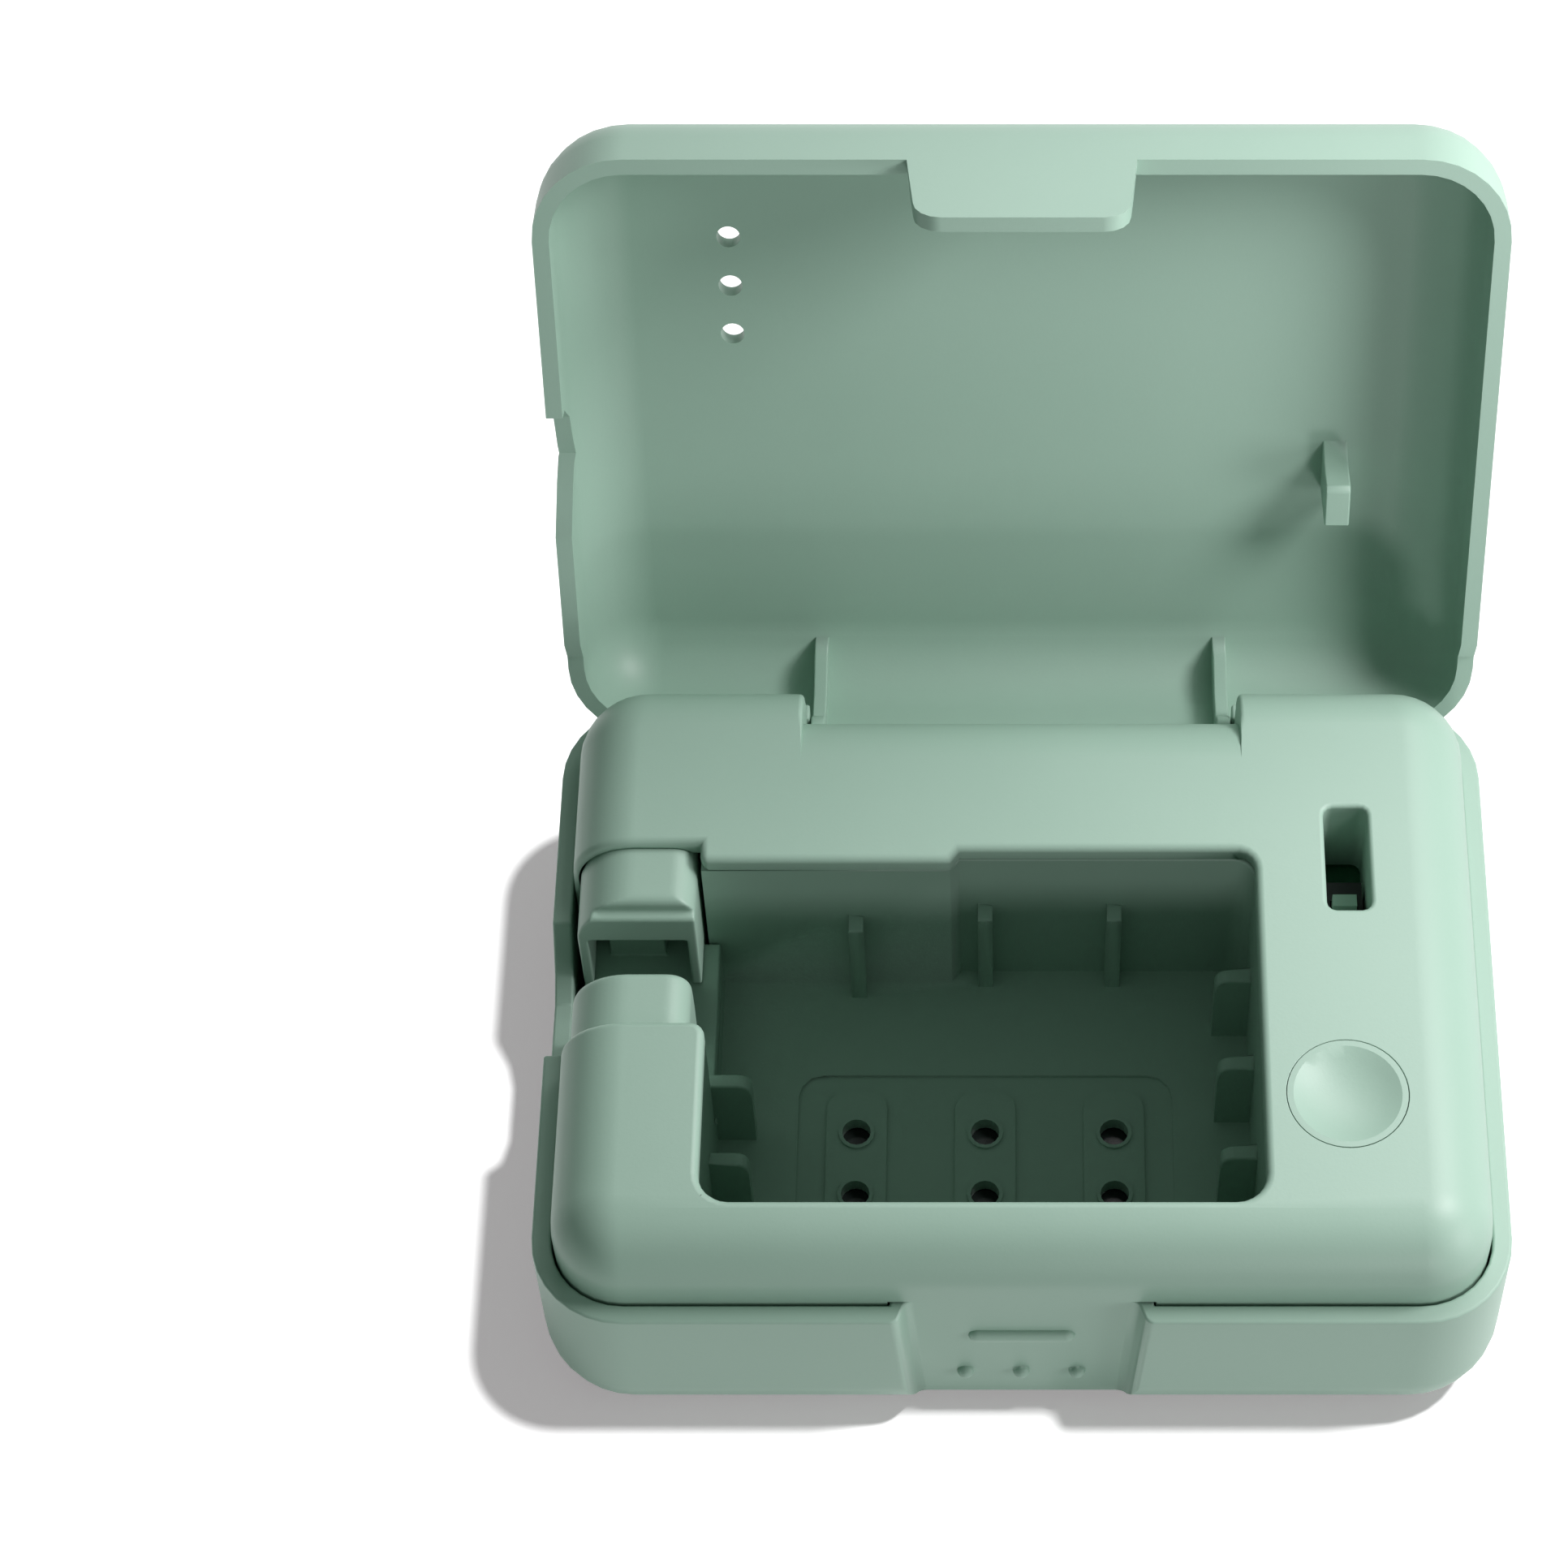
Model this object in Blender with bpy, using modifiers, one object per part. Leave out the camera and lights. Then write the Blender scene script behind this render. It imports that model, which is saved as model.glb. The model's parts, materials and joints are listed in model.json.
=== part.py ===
# Travel toothbrush sterilizer: a hinged two-shell case with a UV chamber, a neck notch with
# two sprung jaws, a push button, a lid interlock and the electronics between the shells.
# Metres, +Z up, X to the right, the lid hinged along the back (+Y).
# The origin is the centre of the flat underside that the case rests on. The lid stands open.
import math

import bmesh
import bpy
from mathutils import Matrix, Vector

MM = 0.001

# Case, lower shell
CASE_WIDTH = 60.0 * MM
CASE_DEPTH = 45.2 * MM
CASE_CORNER = 5.8 * MM
BASE_HEIGHT = 14.2 * MM
BASE_WALL = 1.2 * MM
BASE_BOTTOM_ROUND = 5.2 * MM

# Clearances between pieces
SEAM = 0.15 * MM
GAP = 0.3 * MM
RUNNING = 0.1 * MM

# Deck, the pillow shaped cover that stands in the lower shell
DECK_RISE = 6.0 * MM
DECK_WALL = 1.2 * MM
DECK_EDGE_ROUND = 4.2 * MM
DECK_SKIRT = 2.4 * MM
MID_HALF_WIDTH = 14.1 * MM
MID_ROUND = 4.8 * MM
MID_BACK_INSET = 3.4 * MM

# Lid
LID_HEIGHT = 8.4 * MM
LID_WALL = 1.05 * MM
LID_EDGE_ROUND = 5.4 * MM
LID_OPEN_ANGLE = math.radians(108.3)
REAR_TRIM = 1.3 * MM
REAR_TRIM_REACH = 8.6 * MM
REAR_TRIM_RAMP = 1.8 * MM

# Hinge
HINGE_INSET = 1.96 * MM
HINGE_DROP = 1.91 * MM
PIN_RADIUS = 0.55 * MM
ARM_THICKNESS = 0.9 * MM
ARM_END_RADIUS = 1.9 * MM
EAR_THICKNESS = 1.8 * MM
REAR_NOTCH_DROP = 4.9 * MM

# Front latch: the tab on the lid, and the finger recess with its catch bar and grip dots
TAB_HALF_TOP = 7.05 * MM
TAB_HALF_END = 6.5 * MM
TAB_LENGTH = 6.55 * MM
TAB_THICKNESS = 1.0 * MM
TAB_CORNER = 1.7 * MM
RECESS_DEPTH = 1.5 * MM
RECESS_SIDE_GAP = 0.55 * MM
RECESS_BEVEL = 0.55 * MM
RECESS_TAPER = 0.8 * MM
RECESS_SHOULDER = 0.65 * MM
RECESS_FILLET = 0.65 * MM
RECESS_SIDE_WALL = 0.4 * MM
RECESS_BACKING = 1.25 * MM
BAR_HALF = 3.27 * MM
BAR_HEIGHT = 1.1 * MM
BAR_PROUD = 0.34 * MM
BAR_END_ROUND = 0.42 * MM
BAR_DROP = 4.1 * MM
DOT_RADIUS = 0.54 * MM
DOT_PITCH = 3.48 * MM
DOT_DROP = 9.7 * MM

# UV chamber: the opening in the deck and the tray below it
LEFT_LAND = 10.5 * MM
RIGHT_LAND = 15.25 * MM
FRONT_LAND = 5.3 * MM
BACK_LAND = 15.1 * MM
CHAMBER_JOG_X = -4.2 * MM
CHAMBER_JOG = 0.84 * MM
CHAMBER_CORNER = 1.4 * MM
CHAMBER_FRONT_CORNER = 1.85 * MM
TRAY_WALL = 0.75 * MM
TRAY_FLOOR = 0.9 * MM
TRAY_FLOOR_TOP = 5.0 * MM
FIN_THICKNESS = 0.95 * MM
LEFT_FIN_REACH = 2.45 * MM
RIGHT_FIN_REACH = 2.3 * MM
FIN_TOP = 12.0 * MM
FIN_CORNER = 0.9 * MM
LEFT_FIN_INSETS = (12.65 * MM, 7.1 * MM)
RIGHT_FIN_PITCH = 6.4 * MM
RIGHT_FIN_INSET = 4.45 * MM
RIGHT_FIN_COUNT = 3
BACK_FIN_REACH = 1.2 * MM
BACK_FIN_TOP = 13.45 * MM
PORT_PITCH_X = 8.3 * MM
PORT_PITCH_Y = 4.45 * MM
PORT_OFFSET = 0.07 * MM
PORT_FRONT_INSET = 8.2 * MM
PORT_RADIUS = 0.92 * MM
PORT_RIM = 0.24 * MM
PORT_RIM_HEIGHT = 0.2 * MM
PAD_WIDTH = 3.9 * MM
PAD_LENGTH = 10.6 * MM
FLOOR_DISH_DEPTH = 0.25 * MM

# Neck notch, its fixed saddle and the two sprung jaws that grip a handle
NECK_FRONT = -4.95 * MM
NECK_BACK_STEP = 0.45 * MM
NECK_CORNER = 0.9 * MM
NECK_GAP_FRONT = -1.0 * MM
NECK_GAP_BACK = 3.4 * MM
NECK_FLOOR_DROP = 4.0 * MM
SADDLE_THICKNESS = 2.0 * MM
JAW_INSET = 1.85 * MM
JAW_WIDTH = 7.6 * MM
JAW_RISE = 5.2 * MM
JAW_LEFT_ROUND = 3.7 * MM
JAW_RIGHT_ROUND = 1.5 * MM
JAW_LIP_STEP = 0.6 * MM
JAW_LIP_HEIGHT = 1.1 * MM
JAW_LIP_INSET = 1.0 * MM
JAW_BLOCK_ROUND = 0.3 * MM
JAW_CAP_ROUND = 0.6 * MM
JAW_WINDOW_RISE = 1.5 * MM
JAW_LEG = 0.65 * MM
JAW_END_WALL = 1.0 * MM
JAW_POST_WIDTH = 3.6 * MM
JAW_POST_INSET = 1.6 * MM
JAW_TUCK = 0.8 * MM
JAW_TRAVEL = 1.4 * MM
JAW_POCKET_GAP = 0.15 * MM

# Button, interlock slot and vents
BUTTON_SIDE_INSET = 10.16 * MM
BUTTON_FRONT_INSET = 12.52 * MM
BUTTON_RADIUS = 3.6 * MM
DISH_RADIUS = 3.32 * MM
DISH_DEPTH = 0.75 * MM
BUTTON_FLANGE = 0.45 * MM
BUTTON_TRAVEL = 0.35 * MM
SLOT_INSET = 9.45 * MM
SLOT_WIDTH = 2.8 * MM
SLOT_FRONT = 3.07 * MM
SLOT_LENGTH = 7.6 * MM
SLOT_CORNER = 0.6 * MM
SLOT_CHUTE_WALL = 0.85 * MM
RIB_THICKNESS = 1.6 * MM
RIB_TIP_RISE = 2.9 * MM
VENT_SIDE_INSET = 11.5 * MM
VENT_FRONT_INSET = 9.8 * MM
VENT_PITCH = 3.6 * MM
VENT_COUNT = 3
VENT_RADIUS = 0.76 * MM

# Electronics
BOARD_THICKNESS = 1.0 * MM
BOARD_TOP = 12.9 * MM
BOARD_SIDE_INSET = 2.9 * MM
BOARD_WIDTH = 10.8 * MM
BOARD_END_INSET = 9.8 * MM
CHIP_SIZE = 3.0 * MM
CHIP_HEIGHT = 0.9 * MM
CHIP_INSET = 1.3 * MM
CHIP_BEHIND_BUTTON = 4.48 * MM
COIL_SIZE = 2.6 * MM
COIL_HEIGHT = 1.3 * MM
COIL_INSET = 6.1 * MM
COIL_FRONT = -1.6 * MM
SWITCH_SIZE = 5.2 * MM
SWITCH_HEIGHT = 3.6 * MM
LIMIT_HEIGHT = 3.0 * MM
LIMIT_LENGTH = 3.8 * MM
LIMIT_INSET = 0.7 * MM
LIMIT_TRAVEL = 0.4 * MM
USB_WIDTH = 8.94 * MM
USB_HEIGHT = 3.16 * MM
USB_LENGTH = 7.3 * MM
LED_BOARD_THICKNESS = 0.8 * MM
LED_BOARD_BOTTOM = 1.9 * MM
LED_SIZE = 2.0 * MM
LED_HEIGHT = 0.5 * MM
WINDOW_THICKNESS = 0.3 * MM
CELL_SIDE_INSET = 12.0 * MM
CELL_BOARD_GAP = 3.3 * MM
CELL_WIDTH = 7.8 * MM
CELL_HEIGHT = 11.0 * MM
CELL_ROUND = 1.6 * MM
FOAM_THICKNESS = 0.8 * MM
WIRE_RADIUS = 0.45 * MM

# Fasteners
SCREW_SIDE_INSET = 6.8 * MM
SCREW_END_INSET = 7.0 * MM
SCREW_RADIUS = 0.9 * MM
SCREW_HEAD_RADIUS = 1.7 * MM
SCREW_HEAD_HEIGHT = 1.0 * MM
SCREW_LENGTH = 7.5 * MM
COUNTERBORE_DEPTH = 1.9 * MM
PLUG_THICKNESS = 0.6 * MM
BOSS_RADIUS = 2.1 * MM
BASE_BOSS_TOP = 3.4 * MM
POST_SIDE_INSET = 4.8 * MM
POST_END_INSET = 12.0 * MM
POST_RADIUS = 1.5 * MM
BOARD_SCREW_RADIUS = 0.65 * MM
BOARD_SCREW_HEAD = 1.2 * MM

# Worked out from the sizes above
HALF_W = CASE_WIDTH / 2
HALF_D = CASE_DEPTH / 2
RIM_Z = BASE_HEIGHT
INNER_W = HALF_W - BASE_WALL
INNER_D = HALF_D - BASE_WALL
DECK_W = INNER_W - SEAM
DECK_D = INNER_D - SEAM
DECK_TOP = RIM_Z + DECK_RISE
DECK_UNDER = DECK_TOP - DECK_WALL
LID_TOP = RIM_Z + LID_HEIGHT
LID_UNDER = LID_TOP - LID_WALL
MID_BACK = HALF_D - MID_BACK_INSET
HINGE_Y = HALF_D - HINGE_INSET
HINGE_Z = RIM_Z - HINGE_DROP
KNUCKLE_RADIUS = HALF_D - HINGE_Y
KNUCKLE_HALF = MID_HALF_WIDTH - GAP - SEAM
ARM_OUTER = MID_HALF_WIDTH - GAP + SEAM / 3
CHAMBER_LEFT = -HALF_W + LEFT_LAND
CHAMBER_RIGHT = HALF_W - RIGHT_LAND
CHAMBER_FRONT = -HALF_D + FRONT_LAND
CHAMBER_BACK = HALF_D - BACK_LAND
CHAMBER_BACK_LEFT = CHAMBER_BACK - CHAMBER_JOG
TRAY_FLOOR_UNDER = TRAY_FLOOR_TOP - TRAY_FLOOR
PORT_CENTRE_X = (CHAMBER_LEFT + CHAMBER_RIGHT) / 2 + PORT_OFFSET
PORT_FRONT_Y = CHAMBER_FRONT + PORT_FRONT_INSET
NECK_BACK = CHAMBER_BACK + NECK_BACK_STEP
NECK_FLOOR = RIM_Z - NECK_FLOOR_DROP
SADDLE_LOW = NECK_FLOOR - SADDLE_THICKNESS
JAW_LEFT = -HALF_W + JAW_INSET
JAW_RIGHT = JAW_LEFT + JAW_WIDTH
JAW_TOP = RIM_Z + JAW_RISE
BUTTON_X = HALF_W - BUTTON_SIDE_INSET
BUTTON_Y = -HALF_D + BUTTON_FRONT_INSET
SLOT_X = HALF_W - SLOT_INSET
BOARD_RIGHT = HALF_W - BOARD_SIDE_INSET
BOARD_LEFT = BOARD_RIGHT - BOARD_WIDTH
BOARD_HALF_LENGTH = HALF_D - BOARD_END_INSET
CELL_LEFT = -HALF_W + CELL_SIDE_INSET
CELL_RIGHT = BOARD_LEFT - CELL_BOARD_GAP
CELL_LENGTH = CELL_RIGHT - CELL_LEFT
SCREW_X = HALF_W - SCREW_SIDE_INSET
SCREW_Y = HALF_D - SCREW_END_INSET
POST_X = HALF_W - POST_SIDE_INSET
POST_Y = HALF_D - POST_END_INSET
BOARD_UNDER = BOARD_TOP - BOARD_THICKNESS
LED_BOARD_TOP = LED_BOARD_BOTTOM + LED_BOARD_THICKNESS
FAR = 40.0 * MM

ROUND_SEGMENTS = 8
CIRCLE_STEPS = 24

parts = None
helpers = None


def start_scene():
    global parts, helpers
    for old in list(bpy.data.objects):
        bpy.data.objects.remove(old, do_unlink=True)
    parts = bpy.data.collections.new("toothbrush_sterilizer")
    helpers = bpy.data.collections.new("cutters")
    bpy.context.scene.collection.children.link(parts)
    bpy.context.scene.collection.children.link(helpers)


def material(name, colour, roughness, metallic=0.0):
    made = bpy.data.materials.new(name)
    made.use_nodes = True
    shader = made.node_tree.nodes["Principled BSDF"]
    shader.inputs["Base Color"].default_value = (*colour, 1.0)
    shader.inputs["Roughness"].default_value = roughness
    shader.inputs["Metallic"].default_value = metallic
    return made


def add_object(name, bm, finish=None, parent=None):
    # with a finish it is a piece of the product, without one it is a cutter or an addition
    mesh = bpy.data.meshes.new(name)
    bm.to_mesh(mesh)
    bm.free()
    obj = bpy.data.objects.new(name, mesh)
    if finish is None:
        helpers.objects.link(obj)
        obj.hide_render = True
        obj.display_type = 'WIRE'
    else:
        parts.objects.link(obj)
        mesh.materials.append(finish)
    if parent is not None:
        obj.parent = parent
        obj.location = -parent.location
    return obj


def box_mesh(low, high):
    bm = bmesh.new()
    low, high = Vector(low), Vector(high)
    size = high - low
    place = Matrix.Translation((low + high) / 2) @ Matrix.Diagonal((*size, 1.0))
    bmesh.ops.create_cube(bm, size=1.0, matrix=place)
    return bm


def box(name, low, high, finish=None, parent=None):
    return add_object(name, box_mesh(low, high), finish, parent)


def upright_edges(bm):
    return [e for e in bm.edges if (e.verts[0].co - e.verts[1].co).xy.length < 1e-7]


def level_edges(bm, height):
    return [e for e in bm.edges if all(abs(v.co.z - height) < 1e-7 for v in e.verts)]


def round_edges(bm, edges, radius, segments=ROUND_SEGMENTS):
    bmesh.ops.bevel(bm, geom=edges, offset=radius, segments=segments, profile=0.5,
                    affect='EDGES', clamp_overlap=False)


def rounded_block(name, low, high, plan_round, top_round=0.0, bottom_round=0.0,
                  finish=None, parent=None, segments=ROUND_SEGMENTS):
    # a box with rounded upright corners, and rounded edges at its top or bottom
    bm = box_mesh(low, high)
    round_edges(bm, upright_edges(bm), plan_round, segments)
    if top_round:
        round_edges(bm, level_edges(bm, high[2]), top_round, segments)
    if bottom_round:
        round_edges(bm, level_edges(bm, low[2]), bottom_round, segments)
    return add_object(name, bm, finish, parent)


def centred_block(name, half_w, half_d, z_low, z_high, plan_round, **rounds):
    return rounded_block(name, (-half_w, -half_d, z_low), (half_w, half_d, z_high), plan_round, **rounds)


def prism(name, outline, axis, low, high, finish=None, parent=None):
    # an outline drawn in the plane square to the axis, and pushed along it
    bm = bmesh.new()
    spots = {'X': lambda a, b: (low, a, b), 'Y': lambda a, b: (a, low, b), 'Z': lambda a, b: (a, b, low)}
    corners = [bm.verts.new(spots[axis](a, b)) for a, b in outline]
    face = bm.faces.new(corners)
    pushed = bmesh.ops.extrude_face_region(bm, geom=[face])
    step = {'X': (high - low, 0, 0), 'Y': (0, high - low, 0), 'Z': (0, 0, high - low)}[axis]
    moved = [v for v in pushed["geom"] if isinstance(v, bmesh.types.BMVert)]
    bmesh.ops.translate(bm, verts=moved, vec=step)
    bmesh.ops.recalc_face_normals(bm, faces=bm.faces)
    return add_object(name, bm, finish, parent)


def arc(centre, radius, start_deg, end_deg, steps=8):
    turn = (end_deg - start_deg) / steps
    angles = [math.radians(start_deg + turn * k) for k in range(steps + 1)]
    return [(centre[0] + radius * math.cos(a), centre[1] + radius * math.sin(a)) for a in angles]


def rod(name, centre, axis, low, high, radius, finish=None, parent=None, steps=CIRCLE_STEPS):
    # a cylinder from low to high along an axis, through the centre's other two coordinates
    bm = bmesh.new()
    turned = {'X': Matrix.Rotation(math.pi / 2, 4, 'Y'), 'Y': Matrix.Rotation(math.pi / 2, 4, 'X'),
              'Z': Matrix.Identity(4)}[axis]
    middle = Vector(centre)
    middle['XYZ'.index(axis)] = (low + high) / 2
    bmesh.ops.create_cone(bm, cap_ends=True, segments=steps, radius1=radius, radius2=radius,
                          depth=high - low, matrix=Matrix.Translation(middle) @ turned)
    return add_object(name, bm, finish, parent)


def turned(name, profile, centre, finish=None, steps=CIRCLE_STEPS):
    # a profile of (radius, height), from the top middle down its outer side, turned about Z
    bm = bmesh.new()
    points = [bm.verts.new((r, 0.0, z)) for r, z in profile]
    for upper, lower in zip(points, points[1:]):
        bm.edges.new((upper, lower))
    obj = add_object(name, bm, finish)
    obj.location = centre
    lathe = obj.modifiers.new("turn", 'SCREW')
    lathe.axis = 'Z'
    lathe.steps = steps
    lathe.render_steps = steps
    lathe.use_merge_vertices = True
    lathe.merge_threshold = 0.000001
    return obj


def wire(name, points, radius, finish):
    curve = bpy.data.curves.new(name, 'CURVE')
    curve.dimensions = '3D'
    curve.bevel_depth = radius
    curve.bevel_resolution = 2
    curve.use_fill_caps = True
    spline = curve.splines.new('POLY')
    spline.points.add(len(points) - 1)
    for spot, place in zip(spline.points, points):
        spot.co = (*place, 1.0)
    curve.materials.append(finish)
    obj = bpy.data.objects.new(name, curve)
    parts.objects.link(obj)
    return obj


def combine(target, tool, operation):
    step = target.modifiers.new(tool.name, 'BOOLEAN')
    step.operation = operation
    step.object = tool
    step.solver = 'EXACT'


def cut(target, *tools):
    for tool in tools:
        combine(target, tool, 'DIFFERENCE')


def join(target, *tools):
    for tool in tools:
        combine(target, tool, 'UNION')


def screw_places():
    return [(sx * SCREW_X, sy * SCREW_Y) for sx in (-1, 1) for sy in (-1, 1)]


def port_places():
    columns = [PORT_CENTRE_X + PORT_PITCH_X * k for k in (-1, 0, 1)]
    return [(x, PORT_FRONT_Y + PORT_PITCH_Y * k) for x in columns for k in (0, 1)]


def recess_outline(half):
    # seen from above: rounded shoulders at the outer wall, sloping sides and a filleted floor
    wall, floor = -HALF_D, -HALF_D + RECESS_DEPTH
    slope = math.degrees(math.atan2(RECESS_DEPTH, RECESS_BEVEL))
    ease = math.tan(math.radians(slope / 2))
    shoulder = arc((half + RECESS_SHOULDER * ease, wall + RECESS_SHOULDER), RECESS_SHOULDER,
                   -90, -90 - slope, 5)
    fillet = arc((half - RECESS_BEVEL - RECESS_FILLET * ease, floor - RECESS_FILLET), RECESS_FILLET,
                 90 - slope, 90, 4)
    right = [(shoulder[0][0], wall - GAP)] + shoulder + fillet
    return right + [(-x, y) for x, y in reversed(right)]


def recess_cutter():
    # wider at the rim than at the underside
    half = TAB_HALF_TOP + RECESS_SIDE_GAP
    bm = bmesh.new()
    rings = [[bm.verts.new((x, y, z)) for x, y in recess_outline(half - taper)]
             for z, taper in ((-GAP, RECESS_TAPER), (RIM_Z + GAP, 0.0))]
    for k in range(len(rings[0])):
        n = (k + 1) % len(rings[0])
        bm.faces.new((rings[0][k], rings[0][n], rings[1][n], rings[1][k]))
    bm.faces.new(rings[0])
    bm.faces.new(rings[1])
    bmesh.ops.recalc_face_normals(bm, faces=bm.faces)
    return add_object("front_recess", bm)


def make_base(plastic):
    base = centred_block("base_shell", HALF_W, HALF_D, 0, RIM_Z, CASE_CORNER,
                         bottom_round=BASE_BOTTOM_ROUND, finish=plastic)
    hollow = centred_block("base_hollow", INNER_W, INNER_D, BASE_WALL, RIM_Z + FAR,
                           CASE_CORNER - BASE_WALL, bottom_round=BASE_BOTTOM_ROUND - BASE_WALL)
    cut(base, hollow)

    # backing behind the finger recess, then the recess, its catch bar and the three grip dots
    recess_floor = -HALF_D + RECESS_DEPTH
    backing_half = TAB_HALF_TOP + RECESS_SIDE_GAP + RECESS_SIDE_WALL
    skin = BASE_WALL / 2
    bend = (-HALF_D + BASE_BOTTOM_ROUND, BASE_BOTTOM_ROUND)
    bend_radius = BASE_BOTTOM_ROUND - skin
    backing_end = recess_floor + RECESS_BACKING
    last = 180 + math.degrees(math.acos((bend[0] - backing_end) / bend_radius))
    backing = arc(bend, bend_radius, 180, last) + [(backing_end, RIM_Z), (-HALF_D + skin, RIM_Z)]
    join(base, prism("recess_backing", backing, 'X', -backing_half, backing_half))
    cut(base, recess_cutter())
    bar_top = RIM_Z - BAR_DROP
    bar = box_mesh((-BAR_HALF, recess_floor - BAR_PROUD, bar_top - BAR_HEIGHT),
                   (BAR_HALF, recess_floor + BAR_PROUD, bar_top))
    end_edges = [e for e in bar.edges if abs(e.verts[0].co.y - e.verts[1].co.y) > BAR_PROUD]
    round_edges(bar, end_edges, BAR_END_ROUND, 4)
    proud_edges = [e for e in bar.edges if all(v.co.y < recess_floor for v in e.verts)]
    round_edges(bar, proud_edges, BAR_PROUD * 0.85, 3)
    join(base, add_object("catch_bar", bar))
    for k in (-1, 0, 1):
        dot = bmesh.new()
        place = Matrix.Translation((k * DOT_PITCH, recess_floor, RIM_Z - DOT_DROP))
        bmesh.ops.create_uvsphere(dot, u_segments=16, v_segments=8, radius=DOT_RADIUS, matrix=place)
        join(base, add_object("grip_dot", dot))

    # the hinge notch in the back wall, and the neck notch in the left wall
    notch_half = KNUCKLE_HALF + GAP
    cut(base, box("hinge_notch", (-notch_half, INNER_D - BASE_WALL, RIM_Z - REAR_NOTCH_DROP),
                  (notch_half, HALF_D + GAP, RIM_Z + GAP)))
    notch = [(5.64 * MM, RIM_Z), (3.5 * MM, RIM_Z - 3.0 * MM), (1.9 * MM, NECK_FLOOR),
             (-2.0 * MM, NECK_FLOOR), (-3.5 * MM, RIM_Z - 2.8 * MM), (-4.05 * MM, RIM_Z),
             (-4.05 * MM, RIM_Z + GAP), (5.64 * MM, RIM_Z + GAP)]
    cut(base, prism("neck_notch_base", notch, 'X', -HALF_W - GAP, -INNER_W + GAP))

    # screw bosses with a counterbore below, and posts for the main board
    for x, y in screw_places():
        join(base, rod("base_boss", (x, y, 0), 'Z', BASE_WALL / 2, BASE_BOSS_TOP, BOSS_RADIUS + 0.5 * MM))
    for side in (-1, 1):
        join(base, rod("board_post", (POST_X, side * POST_Y, 0), 'Z', BASE_WALL / 2,
                       BOARD_UNDER - SEAM, POST_RADIUS))
    for x, y in screw_places():
        cut(base, rod("counterbore", (x, y, 0), 'Z', -GAP, COUNTERBORE_DEPTH, SCREW_HEAD_RADIUS + GAP))
        cut(base, rod("screw_hole", (x, y, 0), 'Z', 0, BASE_BOSS_TOP + GAP, SCREW_RADIUS + RUNNING))
    for side in (-1, 1):
        cut(base, rod("post_pilot", (POST_X, side * POST_Y, 0), 'Z', BOARD_UNDER - 4.0 * MM,
                      BOARD_UNDER + GAP, BOARD_SCREW_RADIUS + RUNNING))

    # pads under the light board, ribs in front of and behind the cell, and the charging window
    for x in (PORT_CENTRE_X - PORT_PITCH_X * 1.5, PORT_CENTRE_X + PORT_PITCH_X * 1.5):
        join(base, box("board_pad", (x - 1.0 * MM, PORT_FRONT_Y - 1.0 * MM, BASE_WALL / 2),
                       (x + 1.0 * MM, PORT_FRONT_Y + PORT_PITCH_Y + 1.0 * MM, LED_BOARD_BOTTOM - SEAM)))
    cell_back = CHAMBER_BACK + TRAY_WALL + 2 * GAP + CELL_WIDTH
    for x in (CELL_LEFT + CELL_LENGTH / 4, CELL_RIGHT - CELL_LENGTH / 4):
        join(base, box("cell_rib", (x, cell_back + SEAM, BASE_WALL / 2),
                       (x + 0.8 * MM, cell_back + SEAM + 1.0 * MM, 6.0 * MM)))
    usb_middle = BOARD_UNDER - SEAM - USB_HEIGHT / 2
    cut(base, usb_stadium("charging_window", USB_WIDTH + GAP, USB_HEIGHT + GAP, usb_middle,
                          INNER_W - GAP, HALF_W + GAP))
    return base


def usb_stadium(name, width, height, middle, low, high, finish=None):
    r = height / 2
    reach = width / 2 - r
    outline = arc((reach, middle), r, -90, 90, 6) + arc((-reach, middle), r, 90, 270, 6)
    return prism(name, outline, 'X', low, high, finish)


def mid_relief(name, inset, half_width):
    # what is taken away behind the low middle stretch of the deck; inset keeps its wall
    centre = (MID_BACK - MID_ROUND, DECK_TOP - MID_ROUND)
    outline = arc(centre, MID_ROUND - inset, 90, 0)
    if inset:
        outline += [(MID_BACK - inset, 0)]
    else:
        under = MID_BACK - DECK_WALL - GAP
        outline += [(MID_BACK, RIM_Z), (under, RIM_Z), (under, 0)]
    outline += [(FAR, 0), (FAR, FAR), (centre[0], FAR)]
    return prism(name, outline, 'X', -half_width, half_width)


def chamber_outline(grow):
    # the opening seen from above, with the small jog in its back wall
    left, right = CHAMBER_LEFT - grow, CHAMBER_RIGHT + grow
    front, back = CHAMBER_FRONT - grow, CHAMBER_BACK + grow
    r, wide = CHAMBER_CORNER, CHAMBER_FRONT_CORNER
    jog = 0.3 * MM
    return (arc((left + wide, front + wide), wide, 180, 270, 6)
            + arc((right - wide, front + wide), wide, 270, 360, 6)
            + arc((right - r, back - r), r, 0, 90, 5)
            + [(CHAMBER_JOG_X + jog, back), (CHAMBER_JOG_X - jog, back - CHAMBER_JOG),
               (left, back - CHAMBER_JOG)])


def neck_outline():
    # the way out of the chamber to the left, round the corner of the deck's front arm
    r = NECK_CORNER
    step = JAW_RIGHT + GAP
    return ([(-FAR, NECK_FRONT)] + arc((CHAMBER_LEFT - r, NECK_FRONT - r), r, 90, 0, 5)
            + [(CHAMBER_LEFT + GAP, NECK_FRONT - r), (CHAMBER_LEFT + GAP, CHAMBER_BACK_LEFT),
               (step, CHAMBER_BACK_LEFT), (step, NECK_BACK), (-FAR, NECK_BACK)])


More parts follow.
